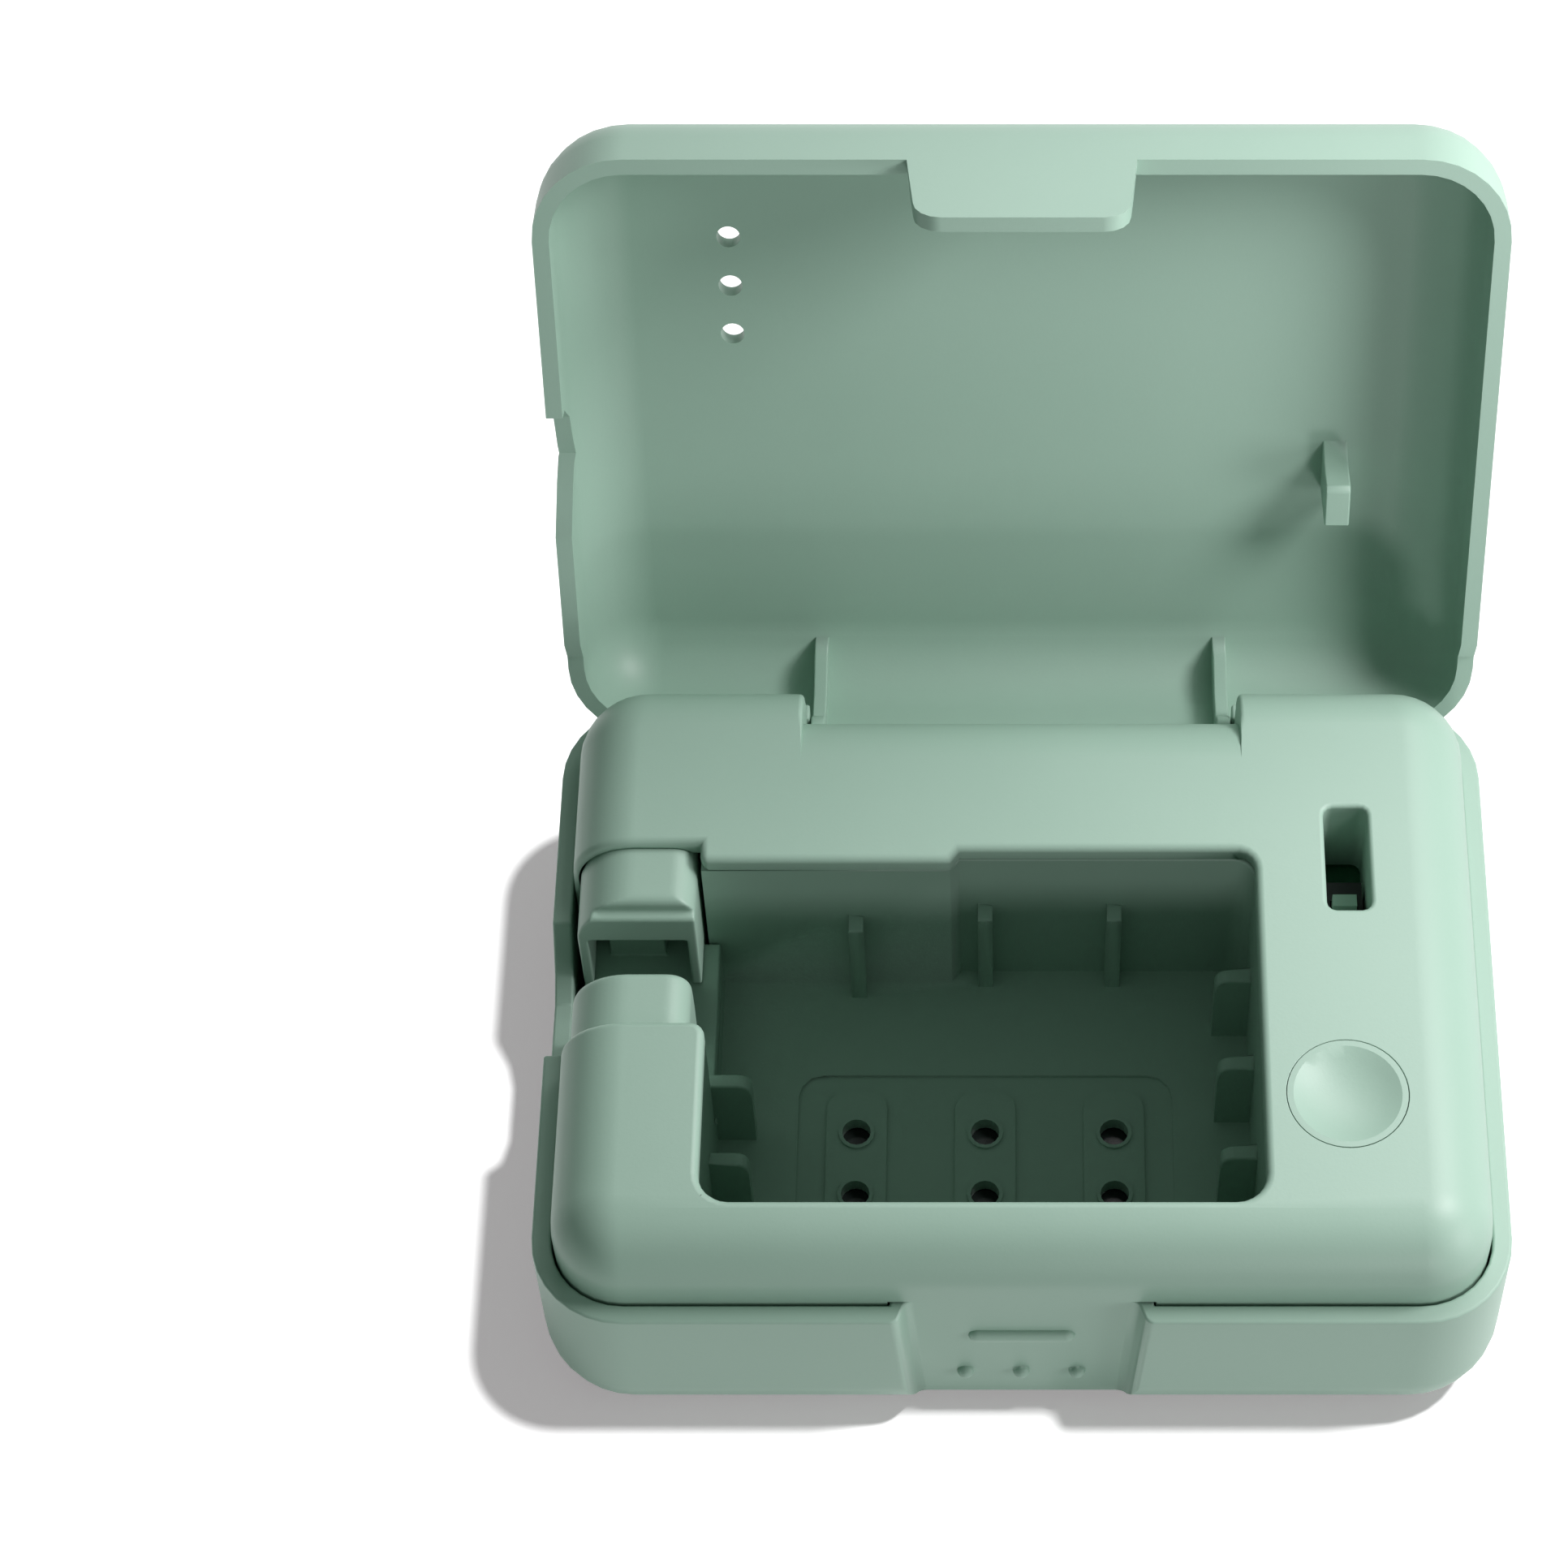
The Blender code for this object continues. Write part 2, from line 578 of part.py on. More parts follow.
def make_deck(plastic):
    deck = centred_block("deck_cover", DECK_W, DECK_D, RIM_Z - DECK_SKIRT, DECK_TOP,
                         CASE_CORNER - BASE_WALL - SEAM, top_round=DECK_EDGE_ROUND, finish=plastic)
    cut(deck, mid_relief("mid_relief", 0, MID_HALF_WIDTH))
    hollow = centred_block("deck_hollow", DECK_W - DECK_WALL, DECK_D - DECK_WALL, RIM_Z - FAR, DECK_UNDER,
                           CASE_CORNER - BASE_WALL - SEAM - DECK_WALL, top_round=DECK_EDGE_ROUND - DECK_WALL)
    cut(hollow, mid_relief("mid_relief_inside", DECK_WALL, MID_HALF_WIDTH + DECK_WALL))
    cut(deck, hollow)

    # ears that carry the hinge pins, bosses for the case screws, and the chute below the slot
    for side in (-1, 1):
        inner, outer = sorted((side * MID_HALF_WIDTH, side * (MID_HALF_WIDTH + EAR_THICKNESS)))
        join(deck, box("hinge_ear", (inner, HINGE_Y - ARM_END_RADIUS, HINGE_Z - ARM_END_RADIUS),
                       (outer, DECK_D - DECK_WALL / 4, RIM_Z + 2.0 * MM)))
        cut(deck, rod("ear_bore", (0, HINGE_Y, HINGE_Z), 'X', inner - GAP, outer + GAP,
                      PIN_RADIUS + RUNNING))
    for x, y in screw_places():
        join(deck, rod("deck_boss", (x, y, 0), 'Z', BASE_BOSS_TOP + SEAM, DECK_UNDER + DECK_WALL / 2,
                       BOSS_RADIUS))
        cut(deck, rod("boss_pilot", (x, y, 0), 'Z', 0, COUNTERBORE_DEPTH + SCREW_LENGTH + GAP,
                      SCREW_RADIUS + RUNNING))
    chute_low = BOARD_TOP + GAP
    slot_half = SLOT_WIDTH / 2
    wall = SLOT_CHUTE_WALL
    join(deck, box("slot_chute", (SLOT_X - slot_half - wall, SLOT_FRONT - wall, chute_low),
                   (SLOT_X + slot_half + wall, SLOT_FRONT + SLOT_LENGTH + wall, DECK_UNDER + DECK_WALL / 2)))
    cut(deck, rounded_block("slot", (SLOT_X - slot_half, SLOT_FRONT, 0),
                            (SLOT_X + slot_half, SLOT_FRONT + SLOT_LENGTH, FAR), SLOT_CORNER, segments=3))

    # openings for the chamber, the neck and the button, and room for the recess backing
    cut(deck, prism("chamber_opening", chamber_outline(0), 'Z', 0, FAR))
    cut(deck, prism("neck_opening", neck_outline(), 'Z', 0, FAR))
    pocket = jaw_outline(-JAW_POCKET_GAP, NECK_FLOOR)
    depth = JAW_TUCK + JAW_TRAVEL + GAP
    cut(deck, prism("rear_jaw_pocket", pocket, 'Y', NECK_BACK - GAP, NECK_BACK + depth))
    cut(deck, prism("front_jaw_pocket", pocket, 'Y', NECK_FRONT - depth, NECK_FRONT + GAP))
    cut(deck, rod("button_hole", (BUTTON_X, BUTTON_Y, 0), 'Z', DECK_UNDER - GAP, FAR,
                  BUTTON_RADIUS + SEAM, steps=2 * CIRCLE_STEPS))
    backing_half = TAB_HALF_TOP + RECESS_SIDE_GAP + RECESS_SIDE_WALL + SEAM
    cut(deck, box("backing_room", (-backing_half, -HALF_D, 0),
                  (backing_half, -HALF_D + RECESS_DEPTH + RECESS_BACKING + SEAM, RIM_Z + SEAM)))
    return deck


def arm_outline():
    # the hinge arm seen from the side: a round end on the pin, a neck that clears the deck, and
    # a root along the inside of the lid's back
    back = HALF_D - LID_WALL / 2
    end = arc((HINGE_Y, HINGE_Z), ARM_END_RADIUS, 118, 360, 14)
    return [(back - 3.65 * MM, LID_UNDER + 0.4 * MM), (back - 3.55 * MM, LID_UNDER - 2.5 * MM),
            (back - 2.4 * MM, LID_UNDER - 4.9 * MM), (back - 2.3 * MM, RIM_Z)] + end + [
            (back, RIM_Z - GAP), (back, LID_UNDER - 3.1 * MM), (back - 1.1 * MM, LID_UNDER - 1.0 * MM)]


def make_lid(plastic, hinge):
    lid = centred_block("lid_shell", HALF_W, HALF_D, RIM_Z + SEAM, LID_TOP, CASE_CORNER,
                        top_round=LID_EDGE_ROUND, finish=plastic, parent=hinge)
    hollow = centred_block("lid_hollow", HALF_W - LID_WALL, HALF_D - LID_WALL, RIM_Z - GAP, LID_UNDER,
                           CASE_CORNER - LID_WALL, top_round=LID_EDGE_ROUND - LID_WALL, parent=hinge)
    cut(lid, hollow)
    trim_z = RIM_Z + REAR_TRIM
    trim_from = HALF_D - REAR_TRIM_REACH
    trim = [(trim_from, RIM_Z - GAP), (trim_from, RIM_Z + SEAM), (trim_from + REAR_TRIM_RAMP, trim_z),
            (FAR, trim_z), (FAR, RIM_Z - GAP)]
    cut(lid, prism("rear_trim", trim, 'X', -FAR, FAR, parent=hinge))

    # the back wall runs down between the humps and curls round the hinge axis
    r = KNUCKLE_RADIUS
    curl_top = trim_z + REAR_TRIM
    curl = (arc((HINGE_Y, HINGE_Z), r, -90, 0, 6) + [(HALF_D, curl_top), (HALF_D - LID_WALL, curl_top)]
            + arc((HINGE_Y, HINGE_Z), r - LID_WALL, 0, -90, 6))
    join(lid, prism("knuckle", curl, 'X', -KNUCKLE_HALF, KNUCKLE_HALF, parent=hinge))
    for side in (-1, 1):
        low, high = sorted((side * (ARM_OUTER - ARM_THICKNESS), side * ARM_OUTER))
        join(lid, prism("hinge_arm", arm_outline(), 'X', low, high, parent=hinge))
        cut(lid, rod("arm_bore", (0, HINGE_Y, HINGE_Z), 'X', low - GAP, high + GAP,
                     PIN_RADIUS + RUNNING, parent=hinge))

    # latch tab: slightly narrower at its end, rounded lower corners, sides that slope like the recess
    r = TAB_CORNER
    end_z = RIM_Z - TAB_LENGTH
    tab = ([(-TAB_HALF_TOP, RIM_Z + LID_WALL)] + arc((-TAB_HALF_END + r, end_z + r), r, 180, 270, 4)
           + arc((TAB_HALF_END - r, end_z + r), r, 270, 360, 4) + [(TAB_HALF_TOP, RIM_Z + LID_WALL)])
    join(lid, prism("latch_tab", tab, 'Y', -HALF_D, -HALF_D + TAB_THICKNESS, parent=hinge))
    slope = RECESS_BEVEL / RECESS_DEPTH
    outer, inner = -HALF_D - GAP, -HALF_D + TAB_THICKNESS + GAP
    for side in (-1, 1):
        bevel = [(side * (TAB_HALF_TOP + slope * GAP), outer), (side * (TAB_HALF_TOP + MM), outer),
                 (side * (TAB_HALF_TOP + MM), inner),
                 (side * (TAB_HALF_TOP - slope * (TAB_THICKNESS + GAP)), inner)]
        cut(lid, prism("tab_side", bevel, 'Z', end_z - GAP, RIM_Z + SEAM, parent=hinge))

    # neck notch, vents, and the rib that reaches the lid switch through the slot
    notch = [(-3.9 * MM, RIM_Z), (-3.6 * MM, RIM_Z + 1.5 * MM), (-1.8 * MM, RIM_Z + 3.5 * MM),
             (1.5 * MM, RIM_Z + 4.2 * MM), (3.2 * MM, RIM_Z + 2.9 * MM), (5.45 * MM, RIM_Z),
             (5.45 * MM, RIM_Z - GAP), (-3.9 * MM, RIM_Z - GAP)]
    cut(lid, prism("neck_notch_lid", notch, 'X', -FAR, -HALF_W + 5.0 * MM, parent=hinge))
    for k in range(VENT_COUNT):
        place = (-HALF_W + VENT_SIDE_INSET, -HALF_D + VENT_FRONT_INSET + k * VENT_PITCH, 0)
        cut(lid, rod("vent", place, 'Z', LID_UNDER - GAP, LID_TOP + GAP, VENT_RADIUS, parent=hinge))
    tip = RIM_Z + RIB_TIP_RISE
    front = SLOT_FRONT + GAP
    back = front + 3.0 * MM
    rib = [(front - 0.8 * MM, LID_UNDER + GAP), (front, DECK_TOP - GAP), (front, tip + GAP),
           (front + GAP, tip), (back, tip), (back, LID_UNDER + GAP)]
    join(lid, prism("interlock_rib", rib, 'X', SLOT_X - RIB_THICKNESS / 2, SLOT_X + RIB_THICKNESS / 2,
                    parent=hinge))
    return lid


def make_hinge_pins(steel, hinge):
    for name, side in (("hinge_pin_left", -1), ("hinge_pin_right", 1)):
        inner = ARM_OUTER - ARM_THICKNESS - GAP
        outer = MID_HALF_WIDTH + EAR_THICKNESS + GAP
        low, high = sorted((side * inner, side * outer))
        rod(name, (0, HINGE_Y, HINGE_Z), 'X', low, high, PIN_RADIUS, steel, hinge)


def make_tray(plastic):
    # an open tub below the deck's opening, with its walls flush with the opening's edge
    top = DECK_UNDER - SEAM
    low_front = top - 1.0 * MM
    tray = prism("chamber_tray", chamber_outline(TRAY_WALL), 'Z', TRAY_FLOOR_UNDER, top, plastic)
    cut(tray, prism("tray_hollow", chamber_outline(0), 'Z', TRAY_FLOOR_TOP, FAR))

    # the front wall stops below the deck's rounding, and dips in the middle
    dip = [(PORT_CENTRE_X - 13.4 * MM, low_front), (PORT_CENTRE_X - 12.2 * MM, low_front - 1.2 * MM),
           (PORT_CENTRE_X + 12.0 * MM, low_front - 1.2 * MM), (PORT_CENTRE_X + 13.2 * MM, low_front),
           (FAR, low_front), (FAR, FAR), (-FAR, FAR), (-FAR, low_front)]
    cut(tray, prism("front_dip", dip, 'Y', CHAMBER_FRONT - TRAY_WALL - GAP,
                    CHAMBER_FRONT + CHAMBER_FRONT_CORNER))

    # the left wall is open where the neck saddle reaches the chamber
    cut(tray, prism("saddle_room", neck_outline(), 'Z', SADDLE_LOW - GAP, FAR))

    # the floor: a shallow dish with three raised pads, and a rimmed port above each lamp
    dish_mid = PORT_FRONT_Y + PORT_PITCH_Y / 2
    cut(tray, rounded_block("floor_dish", (PORT_CENTRE_X - 12.1 * MM, dish_mid - PAD_LENGTH / 2 - 1.2 * MM,
                                           TRAY_FLOOR_TOP - FLOOR_DISH_DEPTH),
                            (PORT_CENTRE_X + 12.1 * MM, dish_mid + PAD_LENGTH / 2 + 1.2 * MM, FAR),
                            1.6 * MM, segments=3))
    for k in (-1, 0, 1):
        x = PORT_CENTRE_X + k * PORT_PITCH_X
        join(tray, rounded_block("floor_pad", (x - PAD_WIDTH / 2, dish_mid - PAD_LENGTH / 2,
                                               TRAY_FLOOR_UNDER + TRAY_FLOOR / 3),
                                 (x + PAD_WIDTH / 2, dish_mid + PAD_LENGTH / 2, TRAY_FLOOR_TOP),
                                 1.2 * MM, segments=3))
    for x, y in port_places():
        join(tray, rod("port_rim", (x, y, 0), 'Z', TRAY_FLOOR_UNDER + TRAY_FLOOR / 3,
                       TRAY_FLOOR_TOP + PORT_RIM_HEIGHT, PORT_RADIUS + PORT_RIM, steps=16))
    for x, y in port_places():
        cut(tray, rod("light_port", (x, y, 0), 'Z', 0, FAR / 2, PORT_RADIUS, steps=16))

    # upright fins along the walls
    for inset in LEFT_FIN_INSETS:
        y = CHAMBER_FRONT + inset
        join(tray, side_fin("left_fin", CHAMBER_LEFT - GAP, CHAMBER_LEFT + LEFT_FIN_REACH, y))
    for k in range(RIGHT_FIN_COUNT):
        y = CHAMBER_BACK - RIGHT_FIN_INSET - k * RIGHT_FIN_PITCH
        join(tray, side_fin("right_fin", CHAMBER_RIGHT + GAP, CHAMBER_RIGHT - RIGHT_FIN_REACH, y))
    for k in (-1, 0, 1):
        x = PORT_CENTRE_X + k * PORT_PITCH_X
        wall = CHAMBER_BACK if x > CHAMBER_JOG_X else CHAMBER_BACK_LEFT
        join(tray, box("back_fin", (x - FIN_THICKNESS / 2, wall - BACK_FIN_REACH, TRAY_FLOOR_UNDER + SEAM),
                       (x + FIN_THICKNESS / 2, wall + TRAY_WALL / 2, BACK_FIN_TOP)))
    return tray


def side_fin(name, wall_x, tip_x, y):
    inward = 1 if tip_x > wall_x else -1
    r = FIN_CORNER
    corner = arc((tip_x - inward * r, FIN_TOP - r), r, 0 if inward > 0 else 180, 90, 4)
    foot = TRAY_FLOOR_UNDER + TRAY_FLOOR / 3
    outline = [(wall_x, foot), (tip_x, foot)] + corner + [(wall_x, FIN_TOP)]
    return prism(name, outline, 'Y', y - FIN_THICKNESS / 2, y + FIN_THICKNESS / 2)


def jaw_outline(inset, low):
    # the jaw's cross-section: it follows the deck's pillow on the left
    left, right, top = JAW_LEFT + inset, JAW_RIGHT - inset, JAW_TOP - inset
    big, small = JAW_LEFT_ROUND - inset, JAW_RIGHT_ROUND - inset
    return ([(left, low), (right, low)] + arc((right - small, top - small), small, 0, 90, 8)
            + arc((left + big, top - big), big, 90, 180, 14))


def make_jaws(plastic):
    # each jaw is a cap on two legs; its far end tucks below the deck, where it slides
    window_top = RIM_Z + JAW_WINDOW_RISE
    low = NECK_FLOOR + JAW_POCKET_GAP
    legs_left, legs_right = JAW_LEFT + JAW_LEG, JAW_RIGHT - JAW_LEG
    rear_end = NECK_BACK + JAW_TUCK
    rear = prism("neck_jaw_rear", jaw_outline(0, low), 'Y', NECK_GAP_BACK, rear_end, plastic)
    cut(rear, box("rear_window", (legs_left, NECK_GAP_BACK - GAP, 0),
                  (legs_right, rear_end - JAW_END_WALL, window_top)))
    ledge = JAW_TOP - JAW_LIP_HEIGHT
    step = NECK_GAP_BACK + JAW_LIP_STEP
    lip = ([(NECK_GAP_BACK - GAP, ledge - JAW_BLOCK_ROUND)]
           + arc((NECK_GAP_BACK + JAW_BLOCK_ROUND, ledge - JAW_BLOCK_ROUND), JAW_BLOCK_ROUND, 180, 90, 4)
           + [(step, ledge)] + arc((step + JAW_CAP_ROUND, JAW_TOP - JAW_CAP_ROUND), JAW_CAP_ROUND, 180, 90, 5)
           + [(step + JAW_CAP_ROUND, JAW_TOP + GAP), (NECK_GAP_BACK - GAP, JAW_TOP + GAP)])
    cut(rear, prism("rear_lip", lip, 'X', JAW_LEFT + JAW_LIP_INSET, FAR))
    front_end = NECK_FRONT - JAW_TUCK
    front = prism("neck_jaw_front", jaw_outline(0, low), 'Y', front_end, NECK_GAP_FRONT, plastic)
    cut(front, box("front_window", (legs_left, front_end + JAW_END_WALL, 0),
                   (legs_right, NECK_GAP_FRONT + GAP, window_top)))


def make_saddle(plastic):
    # the floor of the neck channel, with a post inside each jaw and a foot on the base
    block_back = NECK_BACK + JAW_TUCK + JAW_TRAVEL
    block_front = NECK_FRONT - JAW_TUCK - JAW_TRAVEL
    saddle = box("neck_saddle", (JAW_LEFT, block_front, SADDLE_LOW), (JAW_RIGHT, block_back, NECK_FLOOR),
                 plastic)
    sill_front = max(NECK_FRONT, CHAMBER_FRONT + LEFT_FIN_INSETS[0] + FIN_THICKNESS / 2) + SEAM
    join(saddle, box("saddle_sill", (JAW_RIGHT - JAW_LEG, sill_front, SADDLE_LOW),
                     (CHAMBER_LEFT, CHAMBER_BACK_LEFT - SEAM, NECK_FLOOR)))
    foot_left = -INNER_W + BASE_BOTTOM_ROUND - BASE_WALL
    block_middle = SADDLE_LOW + SADDLE_THICKNESS / 2
    join(saddle, box("saddle_foot", (foot_left, block_front + JAW_END_WALL, BASE_WALL + GAP),
                     (JAW_RIGHT - JAW_END_WALL, block_back - JAW_END_WALL, block_middle)))
    post_top = RIM_Z + JAW_WINDOW_RISE - GAP
    post_left = JAW_LEFT + JAW_POST_INSET
    for y in (NECK_BACK - 2.3 * MM, NECK_FRONT + 1.3 * MM):
        join(saddle, box("jaw_post", (post_left, y, block_middle),
                         (post_left + JAW_POST_WIDTH, y + 1.0 * MM, post_top)))
    return saddle


def make_button(plastic, black):
    # the cap's top is dished for a fingertip; its flange stays below the deck
    bend = (DISH_RADIUS ** 2 + DISH_DEPTH ** 2) / (2 * DISH_DEPTH)
    rings = [DISH_RADIUS * k / 5 for k in range(6)]
    dish = [(r, DECK_TOP - DISH_DEPTH + bend - math.sqrt(bend ** 2 - r ** 2)) for r in rings]
    flange_top = DECK_UNDER - SEAM
    flange_low = flange_top - BUTTON_FLANGE
    stem_low = BOARD_TOP + RUNNING + SWITCH_HEIGHT + 1.0 * MM
    flange = BUTTON_RADIUS + BUTTON_FLANGE
    profile = dish + [(BUTTON_RADIUS, DECK_TOP), (BUTTON_RADIUS, flange_top), (flange, flange_top),
                      (flange, flange_low), (1.5 * MM, flange_low), (1.5 * MM, stem_low), (0.0, stem_low)]
    turned("button_cap", profile, (BUTTON_X, BUTTON_Y, 0.0), plastic, 2 * CIRCLE_STEPS)
    body_low = BOARD_TOP + RUNNING
    half = SWITCH_SIZE / 2
    box("power_switch", (BUTTON_X - half, BUTTON_Y - half, body_low),
        (BUTTON_X + half, BUTTON_Y + half, body_low + SWITCH_HEIGHT), black)
    rod("switch_plunger", (BUTTON_X, BUTTON_Y, 0), 'Z', body_low + SWITCH_HEIGHT + BUTTON_TRAVEL + RUNNING,
        stem_low - RUNNING, 1.4 * MM, black)


def make_interlock(black, mint):
    # the lid switch stands below the slot; its plunger reaches up towards the lid's rib
    body_low = BOARD_TOP + RUNNING
    body_top = body_low + LIMIT_HEIGHT
    half_length = LIMIT_LENGTH / 2
    y = SLOT_FRONT + LIMIT_INSET + half_length
    half_width = SLOT_WIDTH / 2 - 2 * RUNNING
    well_depth = 1.4 * MM
    switch = box("lid_switch", (SLOT_X - half_width, y - half_length, body_low),
                 (SLOT_X + half_width, y + half_length, body_top), black)
    half_x, half_y = 0.76 * MM, 0.43 * MM
    cut(switch, box("plunger_well", (SLOT_X - half_x - RUNNING, y - half_y - RUNNING, body_top - well_depth),
                    (SLOT_X + half_x + RUNNING, y + half_y + RUNNING, body_top + GAP)))
    box("lid_switch_plunger", (SLOT_X - half_x, y - half_y, body_top - well_depth + LIMIT_TRAVEL + RUNNING),
        (SLOT_X + half_x, y + half_y, RIM_Z + RIB_TIP_RISE - SEAM), mint)


def make_main_board(green, steel, black):
    board = box("main_board", (BOARD_LEFT, -BOARD_HALF_LENGTH, BOARD_UNDER),
                (BOARD_RIGHT, BOARD_HALF_LENGTH, BOARD_TOP), green)
    chip_x, chip_y = BOARD_LEFT + CHIP_INSET, BUTTON_Y + CHIP_BEHIND_BUTTON
    join(board, box("charge_chip", (chip_x, chip_y, BOARD_TOP - GAP),
                    (chip_x + CHIP_SIZE, chip_y + CHIP_SIZE, BOARD_TOP + CHIP_HEIGHT)))
    coil_x = BOARD_LEFT + COIL_INSET
    join(board, box("coil", (coil_x, COIL_FRONT, BOARD_TOP - GAP),
                    (coil_x + COIL_SIZE, COIL_FRONT + COIL_SIZE, BOARD_TOP + COIL_HEIGHT)))
    for side in (-1, 1):
        y = side * POST_Y
        cut(board, rod("board_hole", (POST_X, y, 0), 'Z', 0, FAR, BOARD_SCREW_RADIUS + RUNNING))
        name = "board_screw_front" if side < 0 else "board_screw_back"
        head = BOARD_TOP + RUNNING
        turned(name, [(0, head + 0.7 * MM), (BOARD_SCREW_HEAD, head + 0.7 * MM), (BOARD_SCREW_HEAD, head),
                      (BOARD_SCREW_RADIUS, head), (BOARD_SCREW_RADIUS, BOARD_UNDER - 3.5 * MM),
                      (0, BOARD_UNDER - 3.5 * MM)], (POST_X, y, 0), steel, 16)
    middle = BOARD_UNDER - SEAM - USB_HEIGHT / 2
    mouth = HALF_W - 0.4 * MM
    shell = 0.3 * MM
    usb = usb_stadium("usb_c_socket", USB_WIDTH, USB_HEIGHT, middle, mouth - USB_LENGTH, mouth, steel)
    cut(usb, usb_stadium("usb_cavity", USB_WIDTH - 2 * shell, USB_HEIGHT - 2 * shell, middle,
                         mouth - USB_LENGTH + 1.2 * MM, mouth + GAP))
    join(usb, box("usb_tongue", (mouth - USB_LENGTH + 0.8 * MM, -3.3 * MM, middle - 0.35 * MM),
                  (mouth - 0.9 * MM, 3.3 * MM, middle + 0.35 * MM)))


def make_lights(green, white, clear):
    x_reach = PORT_PITCH_X * 1.5 + 1.6 * MM
    y_low = PORT_FRONT_Y - 2.6 * MM
    y_high = PORT_FRONT_Y + PORT_PITCH_Y + 2.6 * MM
    box("uv_board", (PORT_CENTRE_X - x_reach, y_low, LED_BOARD_BOTTOM),
        (PORT_CENTRE_X + x_reach, y_high, LED_BOARD_TOP), green)
    base = LED_BOARD_TOP + RUNNING
    half = LED_SIZE / 2
    for k, (x, y) in enumerate(port_places()):
        lamp = box(f"uv_lamp_{k + 1}", (x - half, y - half, base),
                   (x + half, y + half, base + LED_HEIGHT), white)
        dome = bmesh.new()
        bmesh.ops.create_uvsphere(dome, u_segments=12, v_segments=6, radius=0.45 * MM,
                                  matrix=Matrix.Translation((x, y, base + LED_HEIGHT - 0.2 * MM)))
        join(lamp, add_object("lamp_dome", dome))
    window_top = TRAY_FLOOR_UNDER - RUNNING
    box("uv_window", (PORT_CENTRE_X - x_reach, y_low, window_top - WINDOW_THICKNESS),
        (PORT_CENTRE_X + x_reach, y_high, window_top), clear)


def make_battery(silver, foam, red, black):
    front = CHAMBER_BACK + TRAY_WALL + 2 * GAP
    low = BASE_WALL + FOAM_THICKNESS + 2 * RUNNING
    left, right = CELL_LEFT, CELL_RIGHT
    cell = box_mesh((left, front, low), (right, front + CELL_WIDTH, low + CELL_HEIGHT))
    lengthwise = [e for e in cell.edges if abs(e.verts[0].co.x - e.verts[1].co.x) > CELL_LENGTH / 2]
    round_edges(cell, lengthwise, CELL_ROUND, 3)
    add_object("battery_cell", cell, silver)
    box("battery_foam", (left + 2.0 * MM, front + 1.8 * MM, BASE_WALL + RUNNING),
        (right - 2.0 * MM, front + CELL_WIDTH - 1.8 * MM, BASE_WALL + RUNNING + FOAM_THICKNESS), foam)
    leads = (("battery_lead_red", red, 2.0 * MM), ("battery_lead_black", black, 5.0 * MM))
    for name, finish, offset in leads:
        y = front + offset
        lead_z = low + CELL_HEIGHT * 0.6
        step = BOARD_LEFT - right
        wire(name, [(right + GAP, y, lead_z), (right + step * 0.5, y, lead_z),
                    (right + step * 0.85, y, lead_z + step * 0.35), (right + step, y, BOARD_UNDER - 1.6 * MM),
                    (right + step, y, BOARD_UNDER - GAP - SEAM)], WIRE_RADIUS, finish)


def make_cable(white):
    # flat cable from the light board to the main board, under the tray and up beside it
    start = PORT_CENTRE_X + PORT_PITCH_X * 1.5 + 1.6 * MM + GAP
    z = LED_BOARD_BOTTOM + LED_BOARD_THICKNESS / 2
    rise = CHAMBER_RIGHT + TRAY_WALL + 1.6 * MM
    half = 0.2 * MM
    y = PORT_FRONT_Y + PORT_PITCH_Y / 2
    outline = [(start, z - half), (rise + half, z - half), (rise + half, BOARD_UNDER - GAP),
               (rise - half, BOARD_UNDER - GAP), (rise - half, z + half), (start, z + half)]
    prism("uv_cable", outline, 'Y', y - 1.5 * MM, y + 1.5 * MM, white)


def make_fasteners(steel, rubber):
    for k, (x, y) in enumerate(screw_places()):
        head_top = COUNTERBORE_DEPTH - RUNNING
        turned(f"case_screw_{k + 1}", [(0, head_top + SCREW_LENGTH), (SCREW_RADIUS, head_top + SCREW_LENGTH),
                                       (SCREW_RADIUS, head_top), (SCREW_HEAD_RADIUS, head_top),
                                       (SCREW_HEAD_RADIUS, head_top - SCREW_HEAD_HEIGHT),
                                       (0, head_top - SCREW_HEAD_HEIGHT)], (x, y, 0), steel)
        rod(f"screw_plug_{k + 1}", (x, y, 0), 'Z', RUNNING, RUNNING + PLUG_THICKNESS,
            SCREW_HEAD_RADIUS + GAP - SEAM, rubber)


def main():
    start_scene()
    mint = material("mint_plastic", (0.42, 0.60, 0.50), 0.55)
    black = material("black_plastic", (0.02, 0.02, 0.02), 0.5)
    white = material("white_plastic", (0.8, 0.8, 0.78), 0.4)
    clear = material("clear_quartz", (0.85, 0.88, 0.9), 0.05)
    board = material("circuit_board", (0.02, 0.16, 0.07), 0.45)
    steel = material("steel", (0.6, 0.6, 0.6), 0.3, 1.0)
    silver = material("cell_wrap", (0.55, 0.56, 0.58), 0.35, 0.6)
    foam = material("foam", (0.05, 0.05, 0.05), 0.95)
    red = material("red_lead", (0.55, 0.03, 0.02), 0.45)
    rubber = material("rubber", (0.33, 0.46, 0.40), 0.8)

    make_base(mint)
    make_deck(mint)
    hinge = bpy.data.objects.new("lid_hinge_axis", None)
    parts.objects.link(hinge)
    hinge.location = (0, HINGE_Y, HINGE_Z)
    hinge.rotation_euler = (-LID_OPEN_ANGLE, 0, 0)
    make_lid(mint, hinge)
    make_hinge_pins(steel, hinge)
    make_tray(mint)
    make_saddle(mint)
    make_jaws(mint)
    make_button(mint, black)
    make_interlock(black, mint)
    make_main_board(board, steel, black)
    make_lights(board, white, clear)
    make_battery(silver, foam, red, black)
    make_cable(white)
    make_fasteners(steel, rubber)


main()
